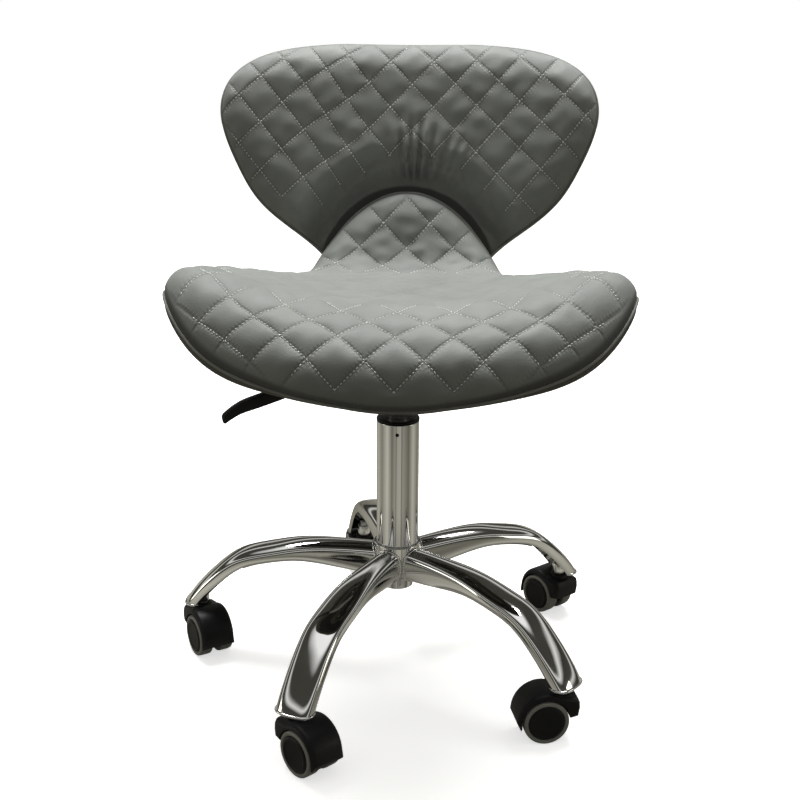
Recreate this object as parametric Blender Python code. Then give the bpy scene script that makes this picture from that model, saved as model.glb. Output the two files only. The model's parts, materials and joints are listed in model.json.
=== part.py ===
"""Rolling stylist stool: saddle seat with a wing backrest on a gas column and a five-leg castered base.

Metres, +Z up, the sitter faces -Y.  The floor is z = 0.  Everything is laid out around the column's
axis, and the whole stool is then shifted so that the origin is the centre of its footprint box.
"""

import math

import bmesh
import bpy
import numpy as np
from mathutils import Matrix, Vector

# ---- Driving dimensions -------------------------------------------------------------------------
GAP = 0.0003                    # clearance left between neighbouring solids
COLUMN_OFFSET = (0.0076, -0.0084)   # column axis seen from the centre of the footprint

# Base
LEG_COUNT = 5
FIRST_LEG_DEG = -40.8           # heading of leg 1; the others follow every 72 degrees
HUB_RADIUS = 0.0285
HUB_TOP = 0.1575
HUB_BOTTOM = 0.1008
LEG_WALL = 0.0022
LEG_RIM_Z = 0.0620              # the open tip of a leg is cut level at this height
LEG_OPEN_FROM = 0.196           # from this radius outwards the leg is an open channel
LEG_CREST = ((0.0240, 0.1535), (0.0800, 0.1547), (0.1220, 0.1516), (0.1600, 0.1432),
             (0.1960, 0.1320), (0.2260, 0.1095), (0.2510, 0.0830), (0.2650, 0.0620), (0.2710, 0.0460))
LEG_STATIONS = 12
LEG_DEPTH = (0.0395, 0.021)     # section height at the hub and at the tip
LEG_WIDTH = (0.031, 0.0425)     # section width at the hub and at the tip
SLEEVE_RADIUS = 0.0088
STEM_CIRCLE = 0.2460            # radius of the caster swivel axes

# Casters
WHEEL_SIDES = 16
WHEEL_RADIUS = 0.0260
WHEEL_AXLE_Z = WHEEL_RADIUS * math.cos(math.pi / WHEEL_SIDES)   # a flat of the tread meets the floor
WHEEL_TRAIL = 0.0200
WHEEL_INNER = 0.0046            # wheel faces, measured from the caster's middle plane
WHEEL_OUTER = 0.0222
TREAD_INNER_RADIUS = 0.0203
AXLE_RADIUS = 0.0030
AXLE_END = 0.0205               # half the axle's length
STEM_RADIUS = 0.0055
HOOD_HEIGHT = 0.0340            # hood's top and tail, measured from the axle
HOOD_TAIL = 0.0320
HOOD_FRONT = -0.0180
HOOD_HALF_WIDTH = 0.0208
HOOD_EDGE = 0.0060
HOOD_WEB = 0.0040
HOOD_POCKET_RADIUS = 0.0275
BOSS_RADIUS = 0.0115            # raised ring on the hood, round the stem
BOSS_TOP = 0.0600
STEM_BOTTOM = 0.0444
TRAIL_DEG = (191.0, 130.0, 102.0, 303.0, 314.0)   # where each caster trails, leg 1 to leg 5

# Column and gas lift
COLUMN_RADIUS = 0.0250
COLUMN_WALL = 0.0018
COLUMN_FOOT = 0.1218
COLUMN_TOP = 0.3100
COLLAR_TOP = 0.3140
TUBE_RADIUS = 0.0140
TUBE_BORE = 0.0126
TUBE_BOTTOM = 0.1380
TUBE_TOP = 0.3520
TAPER_RADIUS = 0.0132
ROD_RADIUS = 0.0050
PISTON_Z = 0.2500
PIN_TOP = 0.3600

# Seat mechanism
PLATE_SIZE = (0.130, 0.128)
PLATE_CENTRE_Y = 0.0150
PLATE_TOP = 0.4068
PLATE_SHEET = 0.0028
PLATE_FLANGE = 0.0100
SOCKET_RADIUS = 0.0215
SOCKET_BOTTOM = 0.3195
BOLT_PLACES = ((-0.045, -0.030), (0.045, -0.030), (0.045, 0.060), (-0.045, 0.060))
LEVER_Z = 0.3646
LEVER_RADIUS = 0.0040
LEVER_ROUTE = ((0.010, LEVER_Z), (-0.030, LEVER_Z), (-0.070, LEVER_Z), (-0.116, 0.3500), (-0.146, 0.3393))
PADDLE_ROUTE = ((-0.124, 0.3465), (-0.140, 0.3415), (-0.168, 0.3315), (-0.186, 0.3240), (-0.2065, 0.3085))

# Upholstered shells.  A spine is the profile, as (y, z), of a shell's upper or front face on the
# middle plane; x and the distance s along the spine are the coordinates on the shell.
SEAT_SHIFT = 0.0033             # the upholstery sits this far beside the column, towards +X
SHELL_THICKNESS = 0.0116
SEAT_SHELL_EXTRA = 0.0012       # how much thicker the seat's shell is at its rim, not counting the tongue
SEAT_SPINE = ((-0.200, 0.3830), (-0.180, 0.4080), (-0.120, 0.4298), (-0.055, 0.4225), (0.010, 0.4200),
              (0.080, 0.4200), (0.150, 0.4480), (0.1835, 0.4980), (0.196, 0.5480))
SEAT_HALF_WIDTH = 0.2525
SEAT_WIDEST_Y = -0.070
SEAT_FRONT_REACH = 0.130
SEAT_REAR_EDGE = ((0.2465, 0.195), (0.2270, 0.238), (0.1940, 0.275), (0.1620, 0.305), (0.1380, 0.335),
                  (0.1210, 0.365), (0.1085, 0.395), (0.0950, 0.420), (0.0760, 0.447), (0.0500, 0.470))
SEAT_CENTRE_S = 0.215
FLAT_HALF_WIDTH = 0.050         # the middle strip of the seat stays flat across
WING_RISE = (-0.0270, 0.0480, 0.0390)  # how the sides stand at the front corners, the wings and behind them
SEAT_PAD = 0.0390
TONGUE_PAD = 0.0250
BACK_SPINE = ((0.1850, 0.4400), (0.2025, 0.5000), (0.2170, 0.5600), (0.2430, 0.6500), (0.2678, 0.7257))
BACK_EDGE = ((0.0500, 0.002), (0.0850, 0.010), (0.1110, 0.034), (0.1530, 0.067), (0.1900, 0.100),
             (0.2160, 0.143), (0.2325, 0.183), (0.2368, 0.212), (0.2268, 0.2455), (0.2030, 0.2690),
             (0.1670, 0.2850), (0.1280, 0.2930), (0.0700, 0.2978))
BACK_CENTRE_S = 0.185
BACK_PAD = 0.0300
PAD_EDGE = 0.0015               # thickness left at a pad's rim
CLAMP_S = 0.068
CLAMP_SIZE = (0.070, 0.024, 0.003)
STUD_SPREAD = 0.022
EDGE_POINTS = 36
PATCH_RINGS = (0.30, 0.58, 0.80, 0.94, 1.0)
BACK_WING_CURVE = 0.022         # how far the backrest's sides come forward, at the half width below
BACK_CURVE_WIDTH = 0.240
SEAT_ROLL = (0.050, 0.036)      # how far in from its rim a pad rounds down: the seat, its tongue, the back
BACK_ROLL = 0.045
TONGUE_ARC = (0.112, 0.118)     # half axes of the arc where the tongue lies against the backrest
TONGUE_ARC_Z = 0.440


# ---- Materials ----------------------------------------------------------------------------------
def make_material(name, colour, roughness, metallic=0.0):
    material = bpy.data.materials.new(name)
    material.use_nodes = True
    shader = material.node_tree.nodes["Principled BSDF"]
    shader.inputs["Base Color"].default_value = (*colour, 1.0)
    shader.inputs["Roughness"].default_value = roughness
    shader.inputs["Metallic"].default_value = metallic
    return material


FINISHES = {
    "chrome": ((0.78, 0.79, 0.80), 0.08, 1.0),
    "steel": ((0.56, 0.57, 0.58), 0.35, 1.0),
    "black_steel": ((0.025, 0.025, 0.027), 0.45, 0.0),
    "black_nylon": ((0.012, 0.012, 0.013), 0.38, 0.0),
    "grey_tread": ((0.090, 0.092, 0.085), 0.50, 0.0),
    "grey_leather": ((0.215, 0.225, 0.215), 0.55, 0.0),
    "shell_leather": ((0.130, 0.135, 0.125), 0.60, 0.0),
}


# ---- Mesh helpers -------------------------------------------------------------------------------
def mesh_from(vertices, faces):
    mesh = bpy.data.meshes.new("solid")
    mesh.from_pydata([tuple(v) for v in vertices], [], faces)
    work = bmesh.new()
    work.from_mesh(mesh)
    bmesh.ops.remove_doubles(work, verts=work.verts, dist=1e-6)
    bmesh.ops.recalc_face_normals(work, faces=work.faces)
    work.to_mesh(mesh)
    work.free()
    return mesh


def loft(rings):
    """Skin equal rings of points and cap the two ends."""
    count = len(rings[0])
    vertices = [point for ring in rings for point in ring]
    faces = []
    for i in range(len(rings) - 1):
        a = i * count
        b = a + count
        for k in range(count):
            after = (k + 1) % count
            faces.append((a + k, a + after, b + after, b + k))
    faces.append(tuple(range(count)))
    faces.append(tuple(range((len(rings) - 1) * count, len(rings) * count)))
    return mesh_from(vertices, faces)


def turned(profile, sides=24, phase=0.0):
    """Solid of revolution about Z from a closed (radius, z) profile; radius 0 gives a pole."""
    vertices = []
    places = []
    for radius, z in profile:
        if radius == 0:
            places.append([len(vertices)] * sides)
            vertices.append((0, 0, z))
            continue
        places.append(list(range(len(vertices), len(vertices) + sides)))
        for k in range(sides):
            turn = phase + 2 * math.pi * k / sides
            vertices.append((radius * math.cos(turn), radius * math.sin(turn), z))
    faces = []
    for i, ring in enumerate(places):
        below = places[(i + 1) % len(places)]
        if profile[i][0] == 0 and profile[(i + 1) % len(places)][0] == 0:
            continue
        for k in range(sides):
            after = (k + 1) % sides
            corners = (ring[k], ring[after], below[after], below[k])
            faces.append(tuple(dict.fromkeys(corners)))
    return mesh_from(vertices, faces)


def rod(radius, low, high, sides=16):
    return turned(((0, low), (radius, low), (radius, high), (0, high)), sides)


def block(low, high):
    outline = ((low[0], low[1]), (high[0], low[1]), (high[0], high[1]), (low[0], high[1]))
    return loft([[(x, y, z) for x, y in outline] for z in (low[2], high[2])])


def moved(mesh, matrix):
    copy = mesh.copy()
    copy.transform(matrix)
    return copy


def combine(mesh, other, operation):
    """Boolean of two closed meshes: DIFFERENCE, UNION or INTERSECT."""
    body = bpy.data.objects.new("body", mesh)
    tool = bpy.data.objects.new("tool", other)
    for item in (body, tool):
        bpy.context.scene.collection.objects.link(item)
    cut = body.modifiers.new("cut", "BOOLEAN")
    cut.operation = operation
    cut.solver = "EXACT"
    cut.object = tool
    depsgraph = bpy.context.evaluated_depsgraph_get()
    result = bpy.data.meshes.new_from_object(body.evaluated_get(depsgraph))
    bpy.data.objects.remove(body)
    bpy.data.objects.remove(tool)
    work = bmesh.new()
    work.from_mesh(result)
    bmesh.ops.dissolve_degenerate(work, edges=work.edges, dist=1e-6)
    work.to_mesh(result)
    work.free()
    return result


def cut(mesh, *tools):
    for tool in tools:
        mesh = combine(mesh, tool, "DIFFERENCE")
    return mesh


class Workshop:
    """Holds the finishes and adds the named objects."""

    def __init__(self):
        self.finishes = {name: make_material(name, *values) for name, values in FINISHES.items()}

    def frame(self, name, parent=None, location=(0, 0, 0), turn=0.0):
        """An empty that carries pieces; turn is about Z, in radians."""
        empty = bpy.data.objects.new(name, None)
        bpy.context.scene.collection.objects.link(empty)
        empty.parent = parent
        empty.location = location
        empty.rotation_euler = (0, 0, turn)
        return empty

    def add(self, name, mesh, finish, parent, location=(0, 0, 0), rotation=(0, 0, 0), smooth_deg=35):
        """Place a mesh, given in its parent's coordinates, with its origin at location."""
        piece = bpy.data.objects.new(name, mesh)
        bpy.context.scene.collection.objects.link(piece)
        if not mesh.materials:
            mesh.materials.append(self.finishes[finish])
        mesh.shade_smooth()
        mesh.set_sharp_from_angle(angle=math.radians(smooth_deg))
        piece.parent = parent
        piece.location = location
        piece.rotation_euler = rotation
        return piece


def spline(points, steps):
    """Natural cubic curve through the points, sampled with the given steps on each span."""
    knots = np.array(points, float)
    length = np.r_[0, np.cumsum(np.linalg.norm(np.diff(knots, axis=0), axis=1))]
    step = np.diff(length)
    count = len(knots)
    system = np.eye(count)
    right = np.zeros_like(knots)
    slope = np.diff(knots, axis=0) / step[:, None]
    for i in range(1, count - 1):
        system[i, i - 1:i + 2] = step[i - 1], 2 * (step[i - 1] + step[i]), step[i]
        right[i] = 6 * (slope[i] - slope[i - 1])
    bend = np.linalg.solve(system, right)
    curve = []
    for i in range(count - 1):
        for k in range(steps):
            b = k / steps
            a = 1 - b
            curve.append(a * knots[i] + b * knots[i + 1]
                         + step[i] ** 2 / 6 * ((a ** 3 - a) * bend[i] + (b ** 3 - b) * bend[i + 1]))
    curve.append(knots[-1])
    return np.array(curve)


def resample(curve, count):
    """The given number of evenly spaced points along a dense curve."""
    length = np.r_[0, np.cumsum(np.linalg.norm(np.diff(curve, axis=0), axis=1))]
    places = np.linspace(0, length[-1], count)
    return np.column_stack([np.interp(places, length, curve[:, i]) for i in range(curve.shape[1])])


def ease(value, low, high):
    """Smooth step from 0 at low to 1 at high."""
    t = min(max((value - low) / (high - low), 0.0), 1.0)
    return t * t * (3 - 2 * t)


def blend(pair, t):
    return pair[0] + (pair[1] - pair[0]) * t


# ---- Base ---------------------------------------------------------------------------------------
def leg_section(width, depth):
    """Round-shouldered section, as (across, below the crest)."""
    half = width / 2
    right = ((0.50 * half, 0.0), (0.95 * half, -0.24 * depth), (half, -0.72 * depth), (0.70 * half, -depth))
    return right + tuple((-across, drop) for across, drop in reversed(right))


def leg_sweep(wall, open_from=None):
    """Rings of a leg along its crest, inset by the wall; past open_from the floor drops away."""
    crest = resample(spline(LEG_CREST, 8), LEG_STATIONS)
    rings = []
    for i, (radius, z) in enumerate(crest):
        before = crest[max(i - 1, 0)]
        after = crest[min(i + 1, len(crest) - 1)]
        run = (after - before) / np.linalg.norm(after - before)
        t = ease(i / (len(crest) - 1), 0.0, 0.5)
        width = blend(LEG_WIDTH, t) - 2 * wall
        depth = blend(LEG_DEPTH, t) - 2 * wall
        ring = []
        for across, drop in leg_section(width, depth):
            down = wall - drop
            if open_from is not None and radius > open_from and drop < -0.5 * depth:
                down += 0.020
                across = math.copysign(width / 2, across)
            ring.append((radius + run[1] * down, across, z - run[0] * down))
        rings.append(ring)
    return rings


def leg_mesh():
    """One pressed tube leg along +X, open below towards its tip, with its caster sleeve welded in."""
    outer = loft(leg_sweep(0.0))
    inner_rings = leg_sweep(LEG_WALL, LEG_OPEN_FROM)
    first = inner_rings[0]
    inner_rings.insert(0, [(x - 0.004, y, z) for x, y, z in first])
    hollow = loft(inner_rings)
    leg = cut(outer, hollow)
    leg = cut(leg, block((0.15, -0.05, 0.0), (0.35, 0.05, LEG_RIM_Z)))
    leg = cut(leg, rod(HUB_RADIUS + GAP, 0.05, 0.25, 24))
    leg = combine(leg, sleeve_mesh(), "UNION")
    stem_bore = moved(rod(STEM_RADIUS + GAP, 0.04, 0.0800, 12), Matrix.Translation((STEM_CIRCLE, 0, 0)))
    return cut(leg, stem_bore)


def sleeve_mesh():
    """Vertical socket tube whose top is cut on the slope of the leg's crest."""
    crest = spline(LEG_CREST, 8)
    nearest = int(np.argmin(abs(crest[:, 0] - STEM_CIRCLE)))
    run = crest[nearest + 1] - crest[nearest - 1]
    work = bmesh.new()
    sleeve = rod(SLEEVE_RADIUS, LEG_RIM_Z, 0.120, 12)
    work.from_mesh(moved(sleeve, Matrix.Translation((STEM_CIRCLE, 0, 0))))
    slope = Vector((-run[1], 0, run[0])).normalized()
    place = Vector((crest[nearest][0], 0, crest[nearest][1])) - slope * LEG_WALL * 0.5
    geometry = work.verts[:] + work.edges[:] + work.faces[:]
    cut_edges = bmesh.ops.bisect_plane(work, geom=geometry, plane_co=place, plane_no=slope,
                                       clear_outer=True)
    rim = [item for item in cut_edges["geom_cut"] if isinstance(item, bmesh.types.BMEdge)]
    bmesh.ops.holes_fill(work, edges=rim)
    bmesh.ops.recalc_face_normals(work, faces=work.faces)
    mesh = bpy.data.meshes.new("sleeve")
    work.to_mesh(mesh)
    work.free()
    return mesh


def build_base(shop, stool):
    hub = turned((
        (HUB_RADIUS, HUB_TOP), (HUB_RADIUS, 0.1210), (0.0205, 0.1150), (0.0195, HUB_BOTTOM),
        (0.0120, HUB_BOTTOM), (0.0120, 0.1040), (0.0178, 0.1060), (0.0178, 0.1185),
        (COLUMN_RADIUS + GAP, 0.1215), (COLUMN_RADIUS + GAP, HUB_TOP)), 24)
    shop.add("base_hub", hub, "chrome", stool)
    leg = leg_mesh()
    hood = hood_mesh()
    for index in range(LEG_COUNT):
        heading = math.radians(FIRST_LEG_DEG) + index * 2 * math.pi / LEG_COUNT
        shop.add(f"base_leg_{index + 1}", leg, "chrome", stool, rotation=(0, 0, heading))
        build_caster(shop, stool, index, heading, hood)


# ---- Casters ------------------------------------------------------------------------------------
def hood_mesh():
    """Twin-wheel hood in caster coordinates: swivel axis on Z, wheels trailing along +X."""
    axle = (WHEEL_TRAIL, WHEEL_AXLE_Z)
    outline = [(HOOD_FRONT + 0.0015, 0.0300), (HOOD_FRONT, 0.0450), (HOOD_FRONT + 0.0025, 0.0525)]
    for k in range(7):
        turn = math.radians(118 - k * 118 / 6)
        outline.append((axle[0] + HOOD_TAIL * math.cos(turn), axle[1] + HOOD_HEIGHT * math.sin(turn)))
    outline += [(0.0485, 0.0185), (0.0465, 0.0225), (0.0380, 0.0200)]
    for k in range(4):
        turn = math.radians(-20 - k * 140 / 3)
        outline.append((axle[0] + 0.0080 * math.cos(turn), axle[1] + 0.0080 * math.sin(turn)))
    outline.append((0.0000, 0.0260))
    work = bmesh.new()
    floor = work.faces.new([work.verts.new((x, -HOOD_HALF_WIDTH, z)) for x, z in outline])
    grown = bmesh.ops.extrude_face_region(work, geom=[floor])
    raised = [item for item in grown["geom"] if isinstance(item, bmesh.types.BMVert)]
    bmesh.ops.translate(work, verts=raised, vec=(0, 2 * HOOD_HALF_WIDTH, 0))
    rims = [edge for edge in work.edges if abs(edge.verts[0].co.y - edge.verts[1].co.y) < 1e-6
            and min(v.co.z for v in edge.verts) > 0.0235]
    bmesh.ops.bevel(work, geom=rims, offset=HOOD_EDGE, segments=2, profile=0.5, affect="EDGES")
    bmesh.ops.recalc_face_normals(work, faces=work.faces)
    body = bpy.data.meshes.new("hood")
    work.to_mesh(body)
    work.free()
    boss = turned(((0, 0.048), (BOSS_RADIUS, 0.048), (BOSS_RADIUS, BOSS_TOP - 0.0025),
                   (BOSS_RADIUS - 0.0020, BOSS_TOP), (0, BOSS_TOP)), 12)
    body = combine(body, boss, "UNION")
    across = Matrix.Translation((axle[0], 0, axle[1])) @ Matrix.Rotation(math.pi / 2, 4, "X")
    pocket = turned(((0, HOOD_WEB), (HOOD_POCKET_RADIUS, HOOD_WEB),
                     (HOOD_POCKET_RADIUS, 0.03), (0, 0.03)), 16)
    other_pocket = moved(pocket, Matrix.Rotation(math.pi, 4, "X"))
    axle_bore = rod(AXLE_RADIUS + GAP, -0.03, 0.03, 10)
    return cut(body, moved(pocket, across), moved(other_pocket, across), moved(axle_bore, across),
               rod(STEM_RADIUS + GAP, STEM_BOTTOM - 0.0004, 0.08, 12))


def build_caster(shop, stool, index, heading, hood):
    label = f"caster_{index + 1}"
    place = (STEM_CIRCLE * math.cos(heading), STEM_CIRCLE * math.sin(heading), 0)
    swivel = shop.frame(f"{label}_swivel", stool, place, math.radians(TRAIL_DEG[index]))
    stem = turned(((0, STEM_BOTTOM), (STEM_RADIUS, STEM_BOTTOM),
                   (STEM_RADIUS, BOSS_TOP + GAP), (0.0078, BOSS_TOP + GAP),
                   (0.0078, LEG_RIM_Z - GAP), (STEM_RADIUS, LEG_RIM_Z - GAP), (STEM_RADIUS, 0.0785),
                   (0.0040, 0.0796), (0, 0.0796)), 12)
    shop.add(f"{label}_stem", stem, "steel", swivel)
    shop.add(f"{label}_hood", hood, "black_nylon", swivel)
    centre = (WHEEL_TRAIL, 0, WHEEL_AXLE_Z)
    side_on = (math.pi / 2, 0, 0)
    axle = rod(AXLE_RADIUS, -AXLE_END, AXLE_END, 10)
    shop.add(f"{label}_axle", axle, "steel", swivel, centre, side_on)
    flat_down = math.pi / WHEEL_SIDES - math.pi / 2
    wheel = turned(((AXLE_RADIUS + GAP, WHEEL_INNER), (TREAD_INNER_RADIUS - GAP, WHEEL_INNER),
                    (TREAD_INNER_RADIUS - GAP, WHEEL_OUTER - 0.0012), (0.0180, WHEEL_OUTER),
                    (0.0080, WHEEL_OUTER - 0.0006), (0, WHEEL_OUTER - 0.0006),
                    (0, AXLE_END + GAP), (AXLE_RADIUS + GAP, AXLE_END + GAP)), WHEEL_SIDES, flat_down)
    tread_inner = WHEEL_INNER + 0.0008
    tread = turned(((TREAD_INNER_RADIUS, tread_inner), (WHEEL_RADIUS - 0.0014, tread_inner),
                    (WHEEL_RADIUS, tread_inner + 0.0026), (WHEEL_RADIUS, WHEEL_OUTER - 0.0050),
                    (WHEEL_RADIUS - 0.0020, WHEEL_OUTER - 0.0012),
                    (TREAD_INNER_RADIUS, WHEEL_OUTER - 0.0008)), WHEEL_SIDES, flat_down)
    for side, rotation in (("left", side_on), ("right", (-math.pi / 2, 0, 0))):
        shop.add(f"{label}_wheel_{side}", wheel, "black_nylon", swivel, centre, rotation)
        shop.add(f"{label}_tread_{side}", tread, "grey_tread", swivel, centre, rotation)


# ---- Column and gas lift ------------------------------------------------------------------------
def build_column(shop, stool):
    inside = COLUMN_RADIUS - COLUMN_WALL
    floor = COLUMN_FOOT + 0.0040
    shop.add("column_tube", turned((
        (COLUMN_RADIUS, COLUMN_TOP), (COLUMN_RADIUS, COLUMN_FOOT), (0.0058, COLUMN_FOOT),
        (0.0058, floor), (inside, floor), (inside, COLUMN_TOP)), 24), "chrome", stool)
    shop.add("guide_bush", turned((
        (0.0253, COLLAR_TOP - 0.0010), (0.0253, COLUMN_TOP + GAP), (inside - GAP, COLUMN_TOP + GAP),
        (inside - GAP, 0.2500), (TUBE_RADIUS + GAP, 0.2500), (TUBE_RADIUS + GAP, COLLAR_TOP),
        (0.0243, COLLAR_TOP)), 24), "black_nylon", stool)
    shop.add("thrust_bearing", turned((
        (0.0110, floor + GAP), (0.0110, floor + 0.0045), (ROD_RADIUS + GAP, floor + 0.0045),
        (ROD_RADIUS + GAP, floor + GAP)), 14), "steel", stool)
    seat_z = floor + 0.0045 + GAP
    shop.add("piston_rod", turned((
        (0, 0.1085), (ROD_RADIUS, 0.1085), (ROD_RADIUS, 0.1130), (0.0038, 0.1130), (0.0038, 0.1146),
        (ROD_RADIUS, 0.1146), (ROD_RADIUS, seat_z), (0.0090, seat_z), (0.0090, seat_z + 0.0030),
        (ROD_RADIUS, seat_z + 0.0030), (ROD_RADIUS, PISTON_Z), (0.0119, PISTON_Z),
        (0.0119, PISTON_Z + 0.0100), (0, PISTON_Z + 0.0100)), 14), "steel", stool)
    shop.add("retaining_clip", turned((
        (0.0085, 0.1133), (0.0085, 0.1143), (0.0041, 0.1143), (0.0041, 0.1133)), 16), "steel", stool)
    shop.add("pressure_tube", turned((
        (TAPER_RADIUS, TUBE_TOP), (TUBE_RADIUS, SOCKET_BOTTOM + 0.0020), (TUBE_RADIUS, TUBE_BOTTOM),
        (ROD_RADIUS + GAP, TUBE_BOTTOM), (ROD_RADIUS + GAP, TUBE_BOTTOM + 0.0080),
        (TUBE_BORE, TUBE_BOTTOM + 0.0080), (TUBE_BORE, 0.3220), (0, 0.3220), (0, 0.3330),
        (0.0034, 0.3330), (0.0034, TUBE_TOP)), 20), "chrome", stool)
    shop.add("release_pin", turned((
        (0, PIN_TOP), (0.0050, PIN_TOP), (0.0050, PIN_TOP - 0.0040), (0.0030, PIN_TOP - 0.0040),
        (0.0030, 0.3370), (0, 0.3370)), 14), "steel", stool)


# ---- Seat mechanism -----------------------------------------------------------------------------
def build_mechanism(shop, stool):
    half_x = PLATE_SIZE[0] / 2
    half_y = PLATE_SIZE[1] / 2
    low = (-half_x, PLATE_CENTRE_Y - half_y, PLATE_TOP - PLATE_FLANGE)
    high = (half_x, PLATE_CENTRE_Y + half_y, PLATE_TOP)
    plate = block(low, high)
    under = block((low[0] + PLATE_SHEET, low[1] + PLATE_SHEET, low[2] - 0.01),
                  (high[0] - PLATE_SHEET, high[1] - PLATE_SHEET, PLATE_TOP - PLATE_SHEET))
    plate = cut(plate, under)
    plate = combine(plate, rod(SOCKET_RADIUS, SOCKET_BOTTOM, PLATE_TOP - 0.0010, 20), "UNION")
    bore = turned(((0, SOCKET_BOTTOM - 0.002), (TUBE_RADIUS + GAP, SOCKET_BOTTOM - 0.002),
                   (TUBE_RADIUS + GAP, SOCKET_BOTTOM + 0.0020), (TAPER_RADIUS + GAP, TUBE_TOP),
                   (TAPER_RADIUS + GAP, 0.3900), (0, 0.3900)), 20)
    lever_hole = moved(rod(LEVER_RADIUS + 0.0012, 0.010, 0.030, 12), Matrix.Translation((0, 0, LEVER_Z))
                       @ Matrix.Rotation(-math.pi / 2, 4, "Y"))
    bolt_holes = [moved(rod(0.0034, 0.39, 0.42, 12), Matrix.Translation((x, y, 0)))
                  for x, y in BOLT_PLACES]
    shop.add("seat_plate", cut(plate, bore, lever_hole, *bolt_holes), "black_steel", stool)
    bolt = turned(((0, 0.4160), (0.0030, 0.4160), (0.0030, 0.4040), (0.0060, 0.4040), (0.0060, 0.4005),
                   (0.0035, 0.3995), (0, 0.3995)), 12)
    for index, (x, y) in enumerate(BOLT_PLACES):
        shop.add(f"plate_bolt_{index + 1}", bolt, "steel", stool, (x, y, 0))
    shop.add("lever_rod", tube_along(LEVER_ROUTE, LEVER_RADIUS), "steel", stool)
    shop.add("lever_paddle", paddle_mesh(), "black_nylon", stool)


def tube_along(route, radius, sides=10):
    """Round bar along a route of (x, z) points in the plane y = 0."""
    rings = []
    for i, (x, z) in enumerate(route):
        before = route[max(i - 1, 0)]
        after = route[min(i + 1, len(route) - 1)]
        run = Vector((after[0] - before[0], 0, after[1] - before[1])).normalized()
        side = Vector((-run.z, 0, run.x))
        rings.append([Vector((x, 0, z)) + side * (radius * math.cos(2 * math.pi * k / sides))
                      + Vector((0, radius * math.sin(2 * math.pi * k / sides), 0)) for k in range(sides)])
    return loft(rings)


def paddle_mesh():
    """Drooping hand paddle with a bevelled top, bored for the lever rod."""
    route = spline(PADDLE_ROUTE, 2)
    rings = []
    for i, (x, z) in enumerate(route):
        t = i / (len(route) - 1)
        half_depth = 0.0068 + 0.0012 * math.sin(math.pi * t)
        top = 0.0060 - 0.0020 * t
        low = -0.0078 - 0.0022 * math.sin(math.pi * t)
        lean = -0.30 if i else 0.15
        section = ((-half_depth, low * 0.8), (-half_depth, top * 0.2), (-half_depth * 0.45, top),
                   (half_depth * 0.45, top), (half_depth, top * 0.2), (half_depth, low * 0.8),
                   (half_depth * 0.7, low), (-half_depth * 0.7, low))
        rings.append([(x + lean * height, across, z + height) for across, height in section])
    last = np.array(LEVER_ROUTE[-1])
    run = last - np.array(LEVER_ROUTE[-2])
    bore_end = tuple(last + run / np.linalg.norm(run) * 0.001)
    bore = tube_along((LEVER_ROUTE[-3], LEVER_ROUTE[-2], bore_end), LEVER_RADIUS + GAP)
    return cut(loft(rings), bore)


# ---- Upholstered shells -------------------------------------------------------------------------
class Spine:
    """Middle profile of a shell, measured by the distance s along it."""

    def __init__(self, points):
        self.curve = spline(points, 24)
        self.length = np.r_[0, np.cumsum(np.linalg.norm(np.diff(self.curve, axis=0), axis=1))]
        self.total = self.length[-1]

    def point(self, s):
        return np.array([np.interp(s, self.length, self.curve[:, i]) for i in (0, 1)])

    def normal(self, s):
        """Unit (y, z) direction out of the padded face."""
        run = self.point(min(s + 0.004, self.total)) - self.point(max(s - 0.004, 0.0))
        return np.array([-run[1], run[0]]) / np.linalg.norm(run)

    def s_of_y(self, y):
        return float(np.interp(y, self.curve[:, 0], self.length))


SEAT = Spine(SEAT_SPINE)
BACK = Spine(BACK_SPINE)


def seat_point(x, s, out):
    """Point on the seat, out metres above the shell's upper face."""
    centre = SEAT.point(s)
    normal = SEAT.normal(s)
    rise = blend(WING_RISE[:2], ease(centre[0], -0.195, -0.075))
    rise *= blend((1.0, WING_RISE[2] / WING_RISE[1]), ease(centre[0], -0.050, 0.060))
    rise *= blend((1.0, 0.4), ease(s, 0.40, SEAT.total))
    beyond = max(0.0, abs(x) - FLAT_HALF_WIDTH) / (SEAT_HALF_WIDTH - FLAT_HALF_WIDTH)
    lift = rise * beyond ** 1.3
    lean = ease(centre[0], -0.060, 0.060)
    y = centre[0] + lift * lean * normal[0] + out * normal[0]
    z = centre[1] + lift * blend((1.0, normal[1]), lean) + out * normal[1]
    return (x + SEAT_SHIFT, y, z)


def seat_underside(s, edge):
    """The seat shell's lower face, seen from its upper one."""
    at_rim = 1.0 - ease(edge, 0.03, 0.08)
    return -SHELL_THICKNESS - SEAT_SHELL_EXTRA * at_rim * (1.0 - ease(s, 0.24, 0.34))


def back_point(x, s, out):
    """Point on the backrest, out metres in front of the shell's front face."""
    centre = BACK.point(s)
    normal = BACK.normal(s)
    out += BACK_WING_CURVE * (x / BACK_CURVE_WIDTH) ** 2
    return (x + SEAT_SHIFT, centre[0] + out * normal[0], centre[1] + out * normal[1])


def seat_edge():
    """Half outline of the seat as (x, s), from the middle of the front to the top of the tongue."""
    front = []
    for k in range(9):
        turn = math.pi / 2 * k / 8
        y = SEAT_WIDEST_Y - SEAT_FRONT_REACH * math.cos(turn)
        front.append((SEAT_HALF_WIDTH * math.sin(turn), SEAT.s_of_y(y)))
    return front + list(SEAT_REAR_EDGE) + [(0.0, SEAT.total)]


def back_edge():
    return [(0.0, 0.0)] + list(BACK_EDGE) + [(0.0, BACK.total)]


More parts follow.
